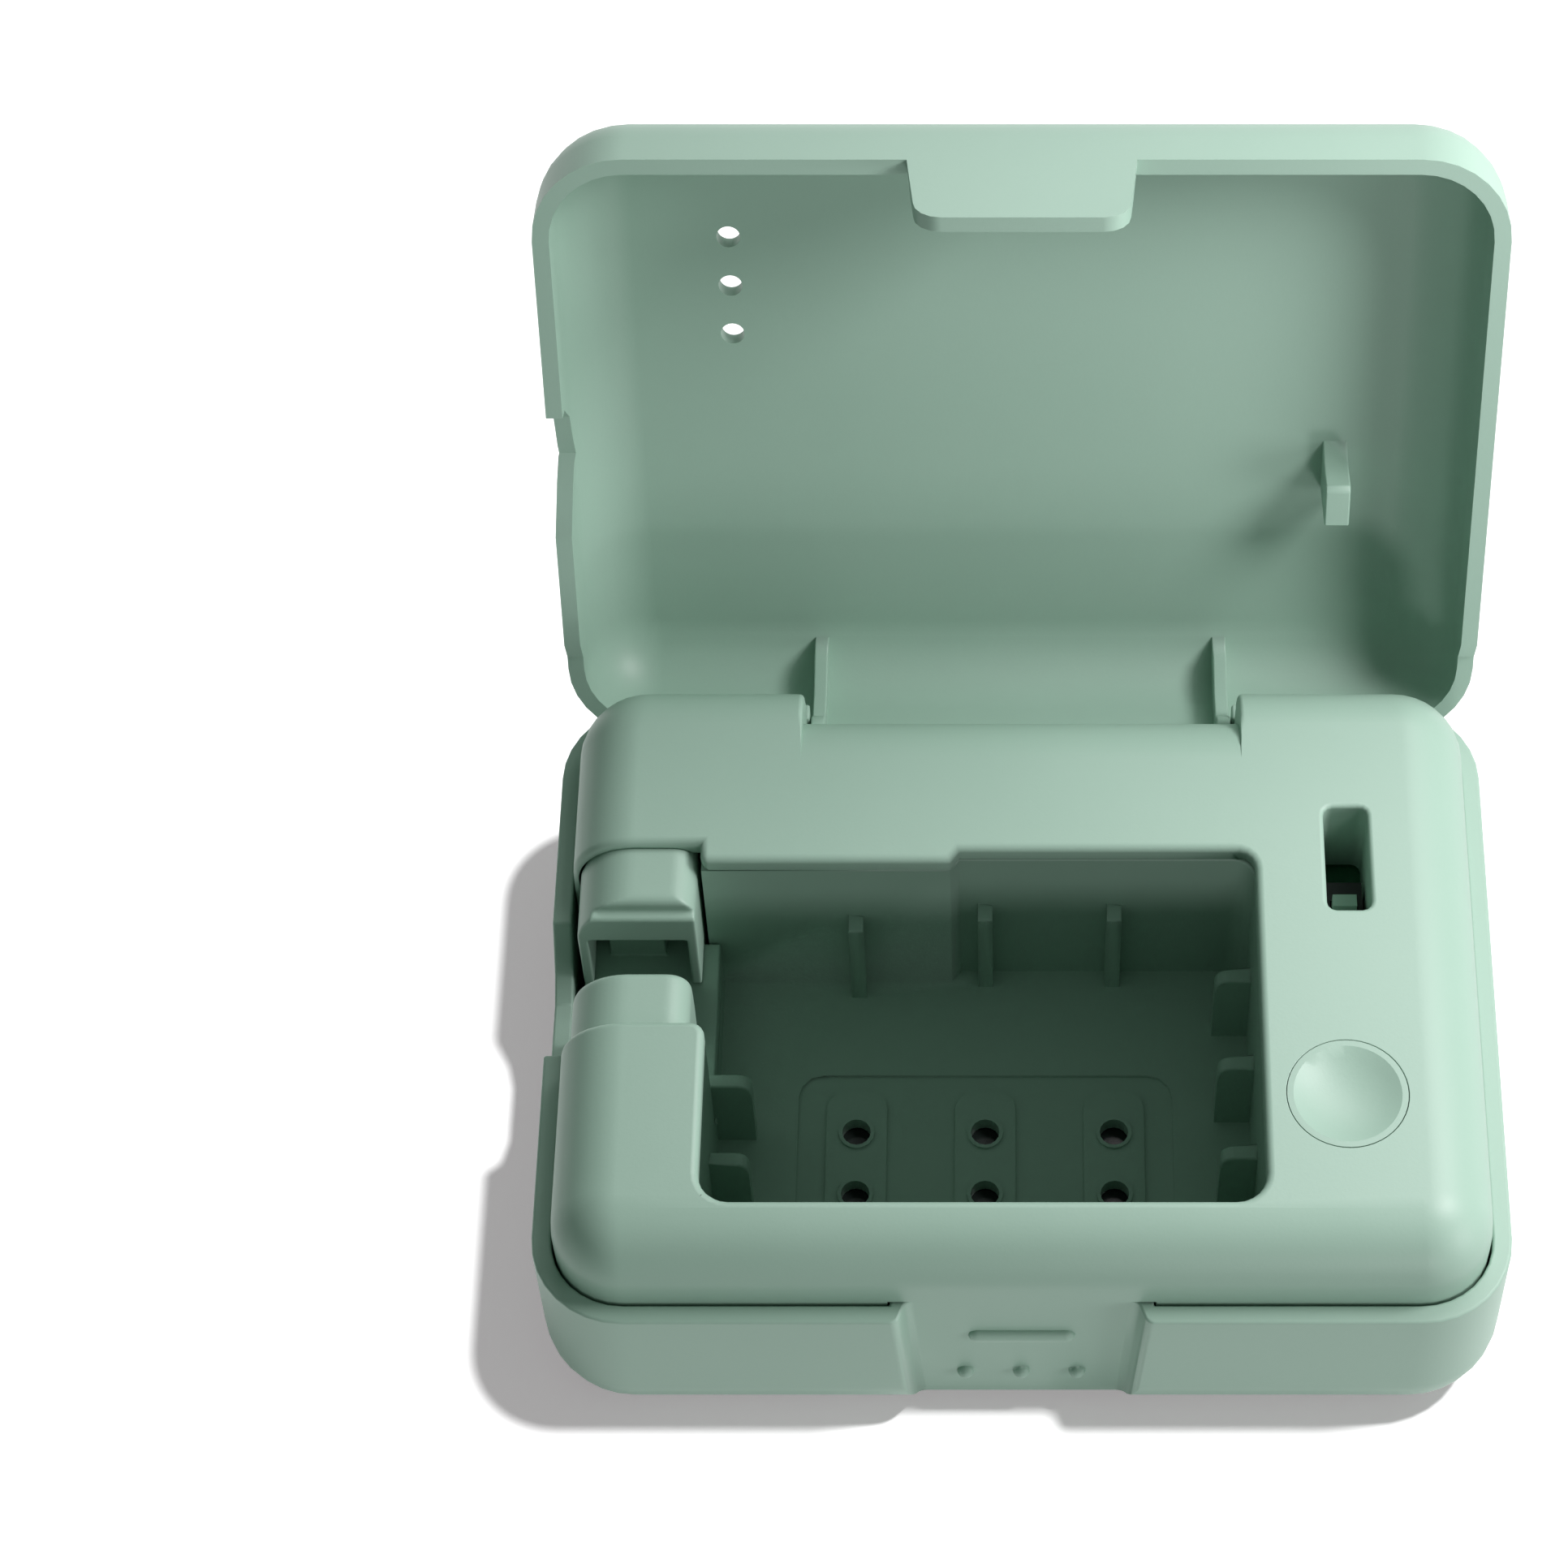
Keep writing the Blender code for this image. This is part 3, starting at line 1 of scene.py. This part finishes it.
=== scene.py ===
import json
import math

import bpy
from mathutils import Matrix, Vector

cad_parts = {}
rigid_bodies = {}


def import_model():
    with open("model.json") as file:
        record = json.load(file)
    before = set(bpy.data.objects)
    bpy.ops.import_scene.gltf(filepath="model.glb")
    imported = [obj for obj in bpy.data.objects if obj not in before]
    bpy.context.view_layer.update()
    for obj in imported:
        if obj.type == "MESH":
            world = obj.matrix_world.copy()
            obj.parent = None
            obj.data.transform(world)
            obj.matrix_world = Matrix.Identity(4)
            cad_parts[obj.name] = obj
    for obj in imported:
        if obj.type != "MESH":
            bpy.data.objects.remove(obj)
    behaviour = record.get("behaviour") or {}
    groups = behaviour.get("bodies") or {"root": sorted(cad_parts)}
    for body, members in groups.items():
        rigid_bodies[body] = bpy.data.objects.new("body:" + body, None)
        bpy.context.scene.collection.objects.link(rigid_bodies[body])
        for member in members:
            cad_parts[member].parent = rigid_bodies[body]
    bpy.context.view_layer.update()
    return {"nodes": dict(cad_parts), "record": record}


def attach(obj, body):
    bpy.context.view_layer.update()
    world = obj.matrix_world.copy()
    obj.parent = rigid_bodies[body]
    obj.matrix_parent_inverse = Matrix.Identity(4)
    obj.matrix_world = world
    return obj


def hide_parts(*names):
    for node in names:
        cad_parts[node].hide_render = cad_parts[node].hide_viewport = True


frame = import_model()
nodes = frame["nodes"]
mm = 0.001
print("frame loaded,", len(nodes), "nodes")


class Wire:
    # a shader socket that can be used in sums, so that 1 - mask adds its Math node
    def __init__(self, tree, socket):
        self.tree = tree
        self.socket = socket

    def maths(self, operation, first, second):
        step = self.tree.nodes.new("ShaderNodeMath")
        step.operation = operation
        plug(self.tree, step.inputs[0], first)
        plug(self.tree, step.inputs[1], second)
        return Wire(self.tree, step.outputs[0])

    def __add__(self, other):
        return self.maths("ADD", self, other)

    def __radd__(self, other):
        return self.maths("ADD", other, self)

    def __sub__(self, other):
        return self.maths("SUBTRACT", self, other)

    def __rsub__(self, other):
        return self.maths("SUBTRACT", other, self)

    def __mul__(self, other):
        return self.maths("MULTIPLY", self, other)

    def __rmul__(self, other):
        return self.maths("MULTIPLY", other, self)

    def node(self, kind, settings=None, sockets=None, output=0):
        made = self.tree.nodes.new(kind)
        for key, value in (settings or {}).items():
            setattr(made, key, value)
        for key, value in (sockets or {}).items():
            plug(self.tree, made.inputs[key], value)
        return Wire(self.tree, made.outputs[output])


def plug(tree, slot, value):
    if isinstance(value, Wire):
        tree.links.new(value.socket, slot)
    else:
        slot.default_value = value


def newFinish(name):
    material = bpy.data.materials.new(name)
    material.use_nodes = True
    tree = material.node_tree
    shader = tree.nodes["Principled BSDF"]
    start = Wire(tree, None)
    place = start.node("ShaderNodeTexCoord", output="Object")
    return material, shader, start, place


def srgb(red, green, blue):
    # colours are picked as 0-255 screen values
    def linear(value):
        value = value / 255
        return value / 12.92 if value < 0.04045 else ((value + 0.055) / 1.055) ** 2.4
    return (linear(red), linear(green), linear(blue), 1.0)


mintLook = {
    "colour": (160, 190, 174),
    "deeper": (153, 185, 168),
    "roughness": 0.46,
    "glossDrift": 0.08,
    "grainSize": 0.11 * mm,
    "grainDepth": 0.012 * mm,
    "grainStrength": 0.6,
    "fineShare": 0.7,
    "patchSize": 9 * mm,
    "patchShare": 0.6,
}


def mintPlastic(name, look):
    # spark-eroded moulding: fine even grain, with a slow drift in tone and gloss
    material, shader, start, place = newFinish(name)
    fineGrains, coarseGrains = 2, 5
    fine = start.node("ShaderNodeTexNoise", sockets={
        "Vector": place, "Scale": 1 / look["grainSize"] / fineGrains, "Detail": 2.0, "Roughness": 0.6})
    coarse = start.node("ShaderNodeTexNoise", sockets={
        "Vector": place, "Scale": 1 / look["grainSize"] / coarseGrains, "Detail": 1.0})
    patch = start.node("ShaderNodeTexNoise", sockets={
        "Vector": place, "Scale": 1 / look["patchSize"], "Detail": 2.0})
    grain = fine * look["fineShare"] + coarse * (1 - look["fineShare"])
    blend = patch * look["patchShare"] + grain * (1 - look["patchShare"])
    tone = start.node("ShaderNodeMix", {"data_type": "RGBA"}, {
        0: blend, 6: srgb(*look["deeper"]), 7: srgb(*look["colour"])}, output=2)
    bump = start.node("ShaderNodeBump", sockets={
        "Strength": look["grainStrength"], "Distance": look["grainDepth"], "Height": grain})
    plug(material.node_tree, shader.inputs["Base Color"], tone)
    roughness = look["roughness"] + (patch - 0.5) * look["glossDrift"]
    plug(material.node_tree, shader.inputs["Roughness"], roughness)
    plug(material.node_tree, shader.inputs["Normal"], bump)
    return material


plainLook = {"darkShare": 0.85, "grainStrength": 0.4, "glossDrift": 0.1}


def plainMould(name, colour, roughness, metallic=0.0, grain=0.3 * mm, depth=0.01 * mm):
    # small hidden or dark pieces: one colour that drifts a little, with a light grain
    material, shader, start, place = newFinish(name)
    noise = start.node("ShaderNodeTexNoise", sockets={"Vector": place, "Scale": 1 / grain, "Detail": 3.0})
    dark = tuple(c * plainLook["darkShare"] for c in colour[:3]) + (1.0,)
    tone = start.node("ShaderNodeMix", {"data_type": "RGBA"}, {0: noise, 6: dark, 7: colour}, output=2)
    bump = start.node("ShaderNodeBump", sockets={
        "Strength": plainLook["grainStrength"], "Distance": depth, "Height": noise})
    shader.inputs["Metallic"].default_value = metallic
    plug(material.node_tree, shader.inputs["Base Color"], tone)
    drift = (noise - 0.5) * plainLook["glossDrift"]
    plug(material.node_tree, shader.inputs["Roughness"], roughness + drift)
    plug(material.node_tree, shader.inputs["Normal"], bump)
    return material


mint = mintPlastic("mint plastic", mintLook)
softMint = mintPlastic("soft mint rubber", {**mintLook, "roughness": 0.7})
blackMould = plainMould("black moulding", srgb(32, 33, 34), 0.5)
whiteMould = plainMould("white moulding", srgb(214, 216, 208), 0.45)
# the clear quartz window is drawn as an opaque, nearly mirror-smooth dark pane: its dark colour is
# painted shade of the hollow behind it
paintedShadePane = plainMould("pane painted with shade", srgb(26, 32, 30), 0.12, 0.0, 2 * mm, 0.002 * mm)
steel = plainMould("pressed steel", srgb(170, 170, 172), 0.32, 1.0, 0.15 * mm, 0.004 * mm)
board = plainMould("green board", srgb(28, 92, 58), 0.4)
cellWrap = plainMould("cell wrap", srgb(178, 180, 184), 0.35, 0.7)
foamPad = plainMould("foam pad", srgb(46, 46, 48), 0.95, 0.0, 0.25 * mm, 0.05 * mm)
redLead = plainMould("red lead", srgb(176, 34, 28), 0.45)
print("finishes made")

lidLook = {"openAngle": 108.3, "hinge": (0, 20.64 * mm, 12.29 * mm)}
cleanLook = {"merge": 0.002 * mm, "flat": 0.05}
easeLook = {"segments": 4, "sharpest": 32, "facingShare": 0.2}
relaxLook = {"factor": 0.5}
shadeLook = {"creases": 38, "weight": 60}


def pick(piece):
    if bpy.context.object and bpy.context.object.mode != "OBJECT":
        bpy.ops.object.mode_set(mode="OBJECT")
    bpy.ops.object.select_all(action="DESELECT")
    piece.select_set(True)
    bpy.context.view_layer.objects.active = piece


def settle(piece, modifier):
    pick(piece)
    bpy.ops.object.modifier_apply(modifier=modifier.name)


def copyNode(node, name):
    # the CAD's loose triangles, merged into clean faces, as the start of a finer piece
    pick(nodes[node])
    piece = nodes[node].copy()
    piece.data = nodes[node].data.copy()
    piece.name = name
    bpy.context.scene.collection.objects.link(piece)
    piece.parent = None
    piece.matrix_world.identity()
    pick(piece)
    bpy.ops.object.mode_set(mode="EDIT")
    bpy.ops.mesh.select_all(action="SELECT")
    bpy.ops.mesh.remove_doubles(threshold=cleanLook["merge"])
    bpy.ops.mesh.dissolve_limited(angle_limit=math.radians(cleanLook["flat"]))
    bpy.ops.object.mode_set(mode="OBJECT")
    return piece


def closedLid(point):
    # where a point of the open lid would lie with the lid shut
    turn = math.radians(lidLook["openAngle"])
    hingeY, hingeZ = lidLook["hinge"][1:]
    y, z = point.y - hingeY, point.z - hingeZ
    return Vector((point.x, hingeY + y * math.cos(turn) - z * math.sin(turn),
                   hingeZ + y * math.sin(turn) + z * math.cos(turn)))


def easeEdges(piece, width, zones=(), lid=False, hollows=True, facing=None):
    # each hard edge gets the radius that a mould gives it: the first zone that holds it says
    # how wide, in mm, and the rest take the shell's own width. The lid's zones are those of
    # the shut lid. Inside corners are left crisp without hollows, and so are edges with no
    # face that looks the way of facing
    mesh = piece.data
    spots = [closedLid(v.co) if lid else v.co for v in mesh.vertices]
    beside = {}
    for face in mesh.polygons:
        ring = list(face.vertices)
        for start, end in zip(ring, ring[1:] + ring[:1]):
            beside.setdefault((min(start, end), max(start, end)), []).append((face.normal, start, end))
    widest = max([width] + [zone[2] for zone in zones])
    if widest == 0:
        return
    weights = mesh.attributes.new("bevel_weight_edge", "FLOAT", "EDGE")
    for edge in mesh.edges:
        faces = beside.get(edge.key, [])
        if len(faces) != 2:
            continue
        normal, start, end = faces[0]
        otherNormal = faces[1][0]
        if normal.angle(otherNormal, 0) < math.radians(easeLook["sharpest"]):
            continue
        along = mesh.vertices[end].co - mesh.vertices[start].co
        if not hollows and normal.cross(otherNormal).dot(along) < 0:
            continue
        if facing and max(face[0].dot(Vector(facing)) for face in faces) < easeLook["facingShare"]:
            continue
        ends = [spots[v] / mm for v in edge.vertices]
        chosen = width
        for low, high, zoneWidth in zones:
            if all(low[k] <= end[k] <= high[k] for end in ends for k in range(3)):
                chosen = zoneWidth
                break
        weights.data[edge.index].value = chosen / widest
    ease = piece.modifiers.new("ease", "BEVEL")
    ease.width = widest * mm
    ease.segments = easeLook["segments"]
    ease.limit_method = "WEIGHT"
    ease.use_clamp_overlap = False
    ease.loop_slide = False
    settle(piece, ease)


def softenForm(piece, voxel, passes):
    # a small moulding with every edge worn round: fine even mesh, then smoothed a little
    remesh = piece.modifiers.new("even", "REMESH")
    remesh.mode = "VOXEL"
    remesh.voxel_size = voxel * mm
    settle(piece, remesh)
    relax = piece.modifiers.new("relax", "SMOOTH")
    relax.factor = relaxLook["factor"]
    relax.iterations = passes
    settle(piece, relax)
    bpy.ops.object.shade_smooth()


def growCap(piece, look):
    # the cap nearly fills its hole, with a hairline round it
    centre = Vector(look["centre"])
    for vertex in piece.data.vertices:
        across = vertex.co.xy - centre
        if abs(across.length - look["radius"]) < look["reach"]:
            vertex.co.xy = centre + across * (look["radius"] + look["grow"]) / look["radius"]


def smooth(piece, angle):
    pick(piece)
    bpy.ops.object.shade_smooth_by_angle(angle=math.radians(angle))
    weigh = piece.modifiers.new("weigh", "WEIGHTED_NORMAL")
    weigh.keep_sharp = True
    weigh.weight = shadeLook["weight"]
    settle(piece, weigh)


def dress(piece, material, body, node):
    piece.data.materials.clear()
    piece.data.materials.append(material)
    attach(piece, body)
    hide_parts(node)


def roundBar(piece, look):
    # the grip bar of the recess: its block comes off, and a half round stands in its place
    bpy.ops.mesh.primitive_cube_add(size=1, location=(0, look["floor"] - look["cut"] / 2, look["height"]))
    cutter = bpy.context.object
    cutter.scale = (2 * look["reach"] + look["spareAlong"], look["cut"],
                    2 * look["radius"] + look["spareAcross"])
    bpy.ops.object.transform_apply(scale=True, location=True)
    trim = piece.modifiers.new("trim", "BOOLEAN")
    trim.operation = "DIFFERENCE"
    trim.object = cutter
    settle(piece, trim)
    bpy.data.objects.remove(cutter)
    bpy.ops.mesh.primitive_cylinder_add(
        vertices=look["steps"], radius=look["radius"], depth=2 * look["reach"],
        location=(0, look["floor"], look["height"]), rotation=(0, math.pi / 2, 0))
    rounds = [bpy.context.object]
    for end in (-look["reach"], look["reach"]):
        bpy.ops.mesh.primitive_uv_sphere_add(
            segments=look["steps"], ring_count=look["steps"] // 2, radius=look["radius"],
            location=(end, look["floor"], look["height"]))
        rounds.append(bpy.context.object)
    for form in rounds:
        pick(form)
        bpy.ops.object.transform_apply(location=True, rotation=True, scale=True)
        for vertex in form.data.vertices:
            vertex.co.y = look["floor"] + (vertex.co.y - look["floor"]) * look["proud"] / look["radius"]
    pick(piece)
    for form in rounds:
        form.select_set(True)
    bpy.ops.object.join()


# a zone is its low corner, its high corner and the width of the edges in it, all in mm
shells = {
    "base_shell": {
        "name": "lowerShell", "body": "case", "edge": 0.18,
        "zones": (
            ((-9, -23, 0), (9, -20, 12), 0.0),  # finger recess
            ((-28, -21, 0.7), (28, 21, 14), 0.0),  # inside
        ),
    },
    "deck_cover": {
        "name": "deckCover", "body": "case", "edge": 0.0, "hollows": False, "facing": (-0.6, 0, 0.8),
        "zones": (
            ((15, -15, 19.5), (25, -5, 21), 0.04),  # button hole
            ((18, 2, 19.5), (23, 12, 21), 0.3),  # slot
            ((-15, 17, 14), (15, 23, 20.3), 0.3),  # inner ends of the humps
            ((-15, 12, 14), (15, 23, 20.3), 0.0),  # where the humps run out
            ((-29, -19, 13.5), (15.5, 9, 21), 0.5),  # chamber opening and neck
        ),
    },
    "lid_shell": {
        "name": "lidShell", "body": "lid", "edge": 0.0, "hollows": False,
        "zones": (
            ((-15, 15, 5), (15, 20, 23), 0.12),  # hinge arms
            ((15, 2, 14), (25, 8, 23), 0.12),  # rib
        ),
    },
    "chamber_tray": {
        "name": "chamberTray", "body": "case", "edge": 0.0,
        "zones": (
            ((-20, -18, 6), (15.5, 8, 19), 0.18),  # fins and walls
        ),
    },
    "neck_saddle": {"name": "neckSaddle", "body": "case", "edge": 0.15},
    "neck_jaw_rear": {"name": "rearJaw", "body": "rear_jaw", "edge": 0.0, "voxel": 0.09, "passes": 10},
    "neck_jaw_front": {
        "name": "frontJaw", "body": "front_jaw", "edge": 0.0, "voxel": 0.09, "passes": 10,
        "zones": (
            ((-29, -1.1, 15), (-20, -0.9, 19.5), 0.5),  # top edge towards the rear jaw
        ),
    },
    "button_cap": {"name": "buttonCap", "body": "button", "edge": 0.0, "creases": 15},
}
barLook = {
    "floor": -21.1 * mm, "height": 9.5 * mm, "reach": 2.68 * mm, "radius": 0.6 * mm,
    "proud": 0.42 * mm, "cut": 0.5 * mm, "spareAlong": 2 * mm, "spareAcross": 0.4 * mm, "steps": 48,
}
capLook = {"centre": (19.84 * mm, -10.08 * mm), "radius": 3.6 * mm, "grow": 0.1 * mm, "reach": 0.02 * mm}
for node, shell in shells.items():
    piece = copyNode(node, shell["name"])
    if node == "button_cap":
        growCap(piece, capLook)
    easeEdges(piece, shell["edge"], shell.get("zones", ()), shell["body"] == "lid",
              shell.get("hollows", True), shell.get("facing"))
    if node == "base_shell":
        roundBar(piece, barLook)
    if "voxel" in shell:
        softenForm(piece, shell["voxel"], shell["passes"])
    else:
        smooth(piece, shell.get("creases", shadeLook["creases"]))
    dress(piece, mint, shell["body"], node)
    print(shell["name"], "eased,", len(piece.data.polygons), "faces")

# the rest of the frame's pieces show as they are, each with the finish of its slot
carried = {
    "black_plastic": blackMould, "white_plastic": whiteMould, "steel": steel, "circuit_board": board,
    "cell_wrap": cellWrap, "foam": foamPad, "red_lead": redLead, "black_lead": blackMould,
    # the clear quartz slot takes the opaque pane whose dark colour is painted shade
    "rubber": softMint, "clear_quartz": paintedShadePane, "mint_plastic": mint,
}
for part in frame["record"]["subparts"]:
    target = nodes[part["node"]]
    if not target.material_slots:
        target.data.materials.append(None)
    for place in target.material_slots:
        place.material = carried[part["material_slot"]]

# floor: white to the camera and in gloss, and it keeps the shadow of the lower case. Its veil
# lifts the shadow to a light grey, and its warmer tint there cancels the green of the room
floorLook = {
    "size": 1.6, "sunk": 0.02 * mm, "white": (1.0, 1.0, 1.0, 1.0), "pale": (0.2, 0.25, 0.228, 1.0),
    "veil": 0.26, "veilTint": (1.0, 0.85, 0.92, 1.0), "noVeil": (0.0, 0.0, 0.0, 1.0),
}
bpy.ops.object.select_all(action="DESELECT")
bpy.ops.mesh.primitive_plane_add(size=floorLook["size"], location=(0, 0, -floorLook["sunk"]))
floor = bpy.context.object
floor.name = "floor"
floorFinish, floorShader, start, place = newFinish("pale floor")
floorShader.inputs["Roughness"].default_value = 1.0
floorShader.inputs["Specular IOR Level"].default_value = 0.0
rays = start.node("ShaderNodeLightPath", output="Is Camera Ray")
mirrored = Wire(rays.tree, rays.socket.node.outputs["Is Glossy Ray"])
through = Wire(rays.tree, rays.socket.node.outputs["Is Transmission Ray"])
seen = rays + mirrored + through
tone = start.node("ShaderNodeMix", {"data_type": "RGBA"}, {
    0: seen, 6: floorLook["pale"], 7: floorLook["white"]}, output=2)
veil = start.node("ShaderNodeMix", {"data_type": "RGBA"}, {
    0: seen * floorLook["veil"], 6: floorLook["noVeil"], 7: floorLook["veilTint"]}, output=2)
plug(floorFinish.node_tree, floorShader.inputs["Base Color"], tone)
plug(floorFinish.node_tree, floorShader.inputs["Emission Color"], veil)
floorShader.inputs["Emission Strength"].default_value = 1.0
floor.data.materials.append(floorFinish)

# room: white to the camera, and a dim light with the green of the case for every other ray
roomLook = {"ambient": 0.16, "tint": (0.82, 1.0, 0.91, 1.0), "white": (1.0, 1.0, 1.0, 1.0)}
world = bpy.data.worlds.new("studio")
bpy.context.scene.world = world
world.use_nodes = True
start = Wire(world.node_tree, None)
rays = start.node("ShaderNodeLightPath", output="Is Camera Ray")
backdrop = world.node_tree.nodes["Background"]
tint = start.node("ShaderNodeMix", {"data_type": "RGBA"}, {
    0: rays, 6: roomLook["tint"], 7: roomLook["white"]}, output=2)
plug(world.node_tree, backdrop.inputs["Color"], tint)
strength = roomLook["ambient"] + rays * (1 - roomLook["ambient"])
plug(world.node_tree, backdrop.inputs["Strength"], strength)

# the soft lamps light the product, but the deep tray gets only a grazing one and the room light;
# the high one lights the floor, past the lower case
onProduct = bpy.data.collections.new("lit product")
onTray = bpy.data.collections.new("lit tray")
onFloor = bpy.data.collections.new("lit floor")
lowerCase = bpy.data.collections.new("lower case")
onFloor.objects.link(floor)
deepPieces = ("chamberTray", "neckSaddle", "lid_switch", "lid_switch_plunger")
for piece in bpy.data.objects:
    if piece.type == "MESH" and piece != floor:
        lit = onTray if piece.name in deepPieces else onProduct
        lit.objects.link(piece)
for name in ("lowerShell", "deckCover"):
    lowerCase.objects.link(bpy.data.objects[name])
lamps = {
    "key": {"from": (0.100, 0.002, 0.125), "size": 0.05, "power": 0.134},
    "rear": {"from": (0.100, 0.040, 0.150), "size": 0.08, "power": 0.048},
    "upper": {"from": (0.060, 0.085, 0.165), "size": 0.09, "power": 0.092},
    "low": {"from": (0.070, -0.220, 0.019), "size": 0.035, "power": 0.072},
    "side": {"from": (0.200, -0.100, 0.060), "size": 0.10, "power": 0.122},
    "back": {"from": (0, 0.200, 0.200), "size": 0.15, "power": 0.104},
    "well": {"from": (0.020, -0.300, 0.085), "size": 0.05, "power": 0.12},
}
lampTarget = Vector((0, 0.01, 0.02))
lampColour = (1.07, 1.0, 1.035)
highLook = {"power": 3.4, "spread": 4.5, "aim": (-0.373, -0.052, -1)}


def hang(name, light, aim, receivers):
    lampObject = bpy.data.objects.new(name, light)
    bpy.context.scene.collection.objects.link(lampObject)
    lampObject.rotation_euler = aim.to_track_quat("-Z", "Y").to_euler()
    lampObject.light_linking.receiver_collection = receivers
    return lampObject


for name, lamp in lamps.items():
    light = bpy.data.lights.new(name, "AREA")
    light.shape = "DISK"
    light.size = lamp["size"]
    light.energy = lamp["power"]
    light.color = lampColour
    soft = hang(name, light, lampTarget - Vector(lamp["from"]), onTray if name == "well" else onProduct)
    soft.location = lamp["from"]
    soft.visible_camera = False
high = bpy.data.lights.new("high", "SUN")
high.energy = highLook["power"]
high.angle = math.radians(highLook["spread"])
sun = hang("high", high, Vector(highLook["aim"]), onFloor)
sun.light_linking.blocker_collection = lowerCase

cameraLook = {
    "lens": 97.78, "sensor": 36, "shift": -0.14206, "near": 0.01, "far": 10,
    "place": (-0.000916, -0.1356, 0.2476), "tilt": 33.05,
}
camera = bpy.data.cameras.new("photo camera")
camera.lens = cameraLook["lens"]
camera.sensor_width = cameraLook["sensor"]
camera.shift_x = cameraLook["shift"]
camera.clip_start = cameraLook["near"]
camera.clip_end = cameraLook["far"]
cameraObject = bpy.data.objects.new("photo camera", camera)
bpy.context.scene.collection.objects.link(cameraObject)
cameraObject.location = cameraLook["place"]
cameraObject.rotation_euler = (math.radians(cameraLook["tilt"]), 0, 0)
bpy.context.scene.camera = cameraObject
bpy.context.scene.view_settings.view_transform = "Standard"
print("stage set")
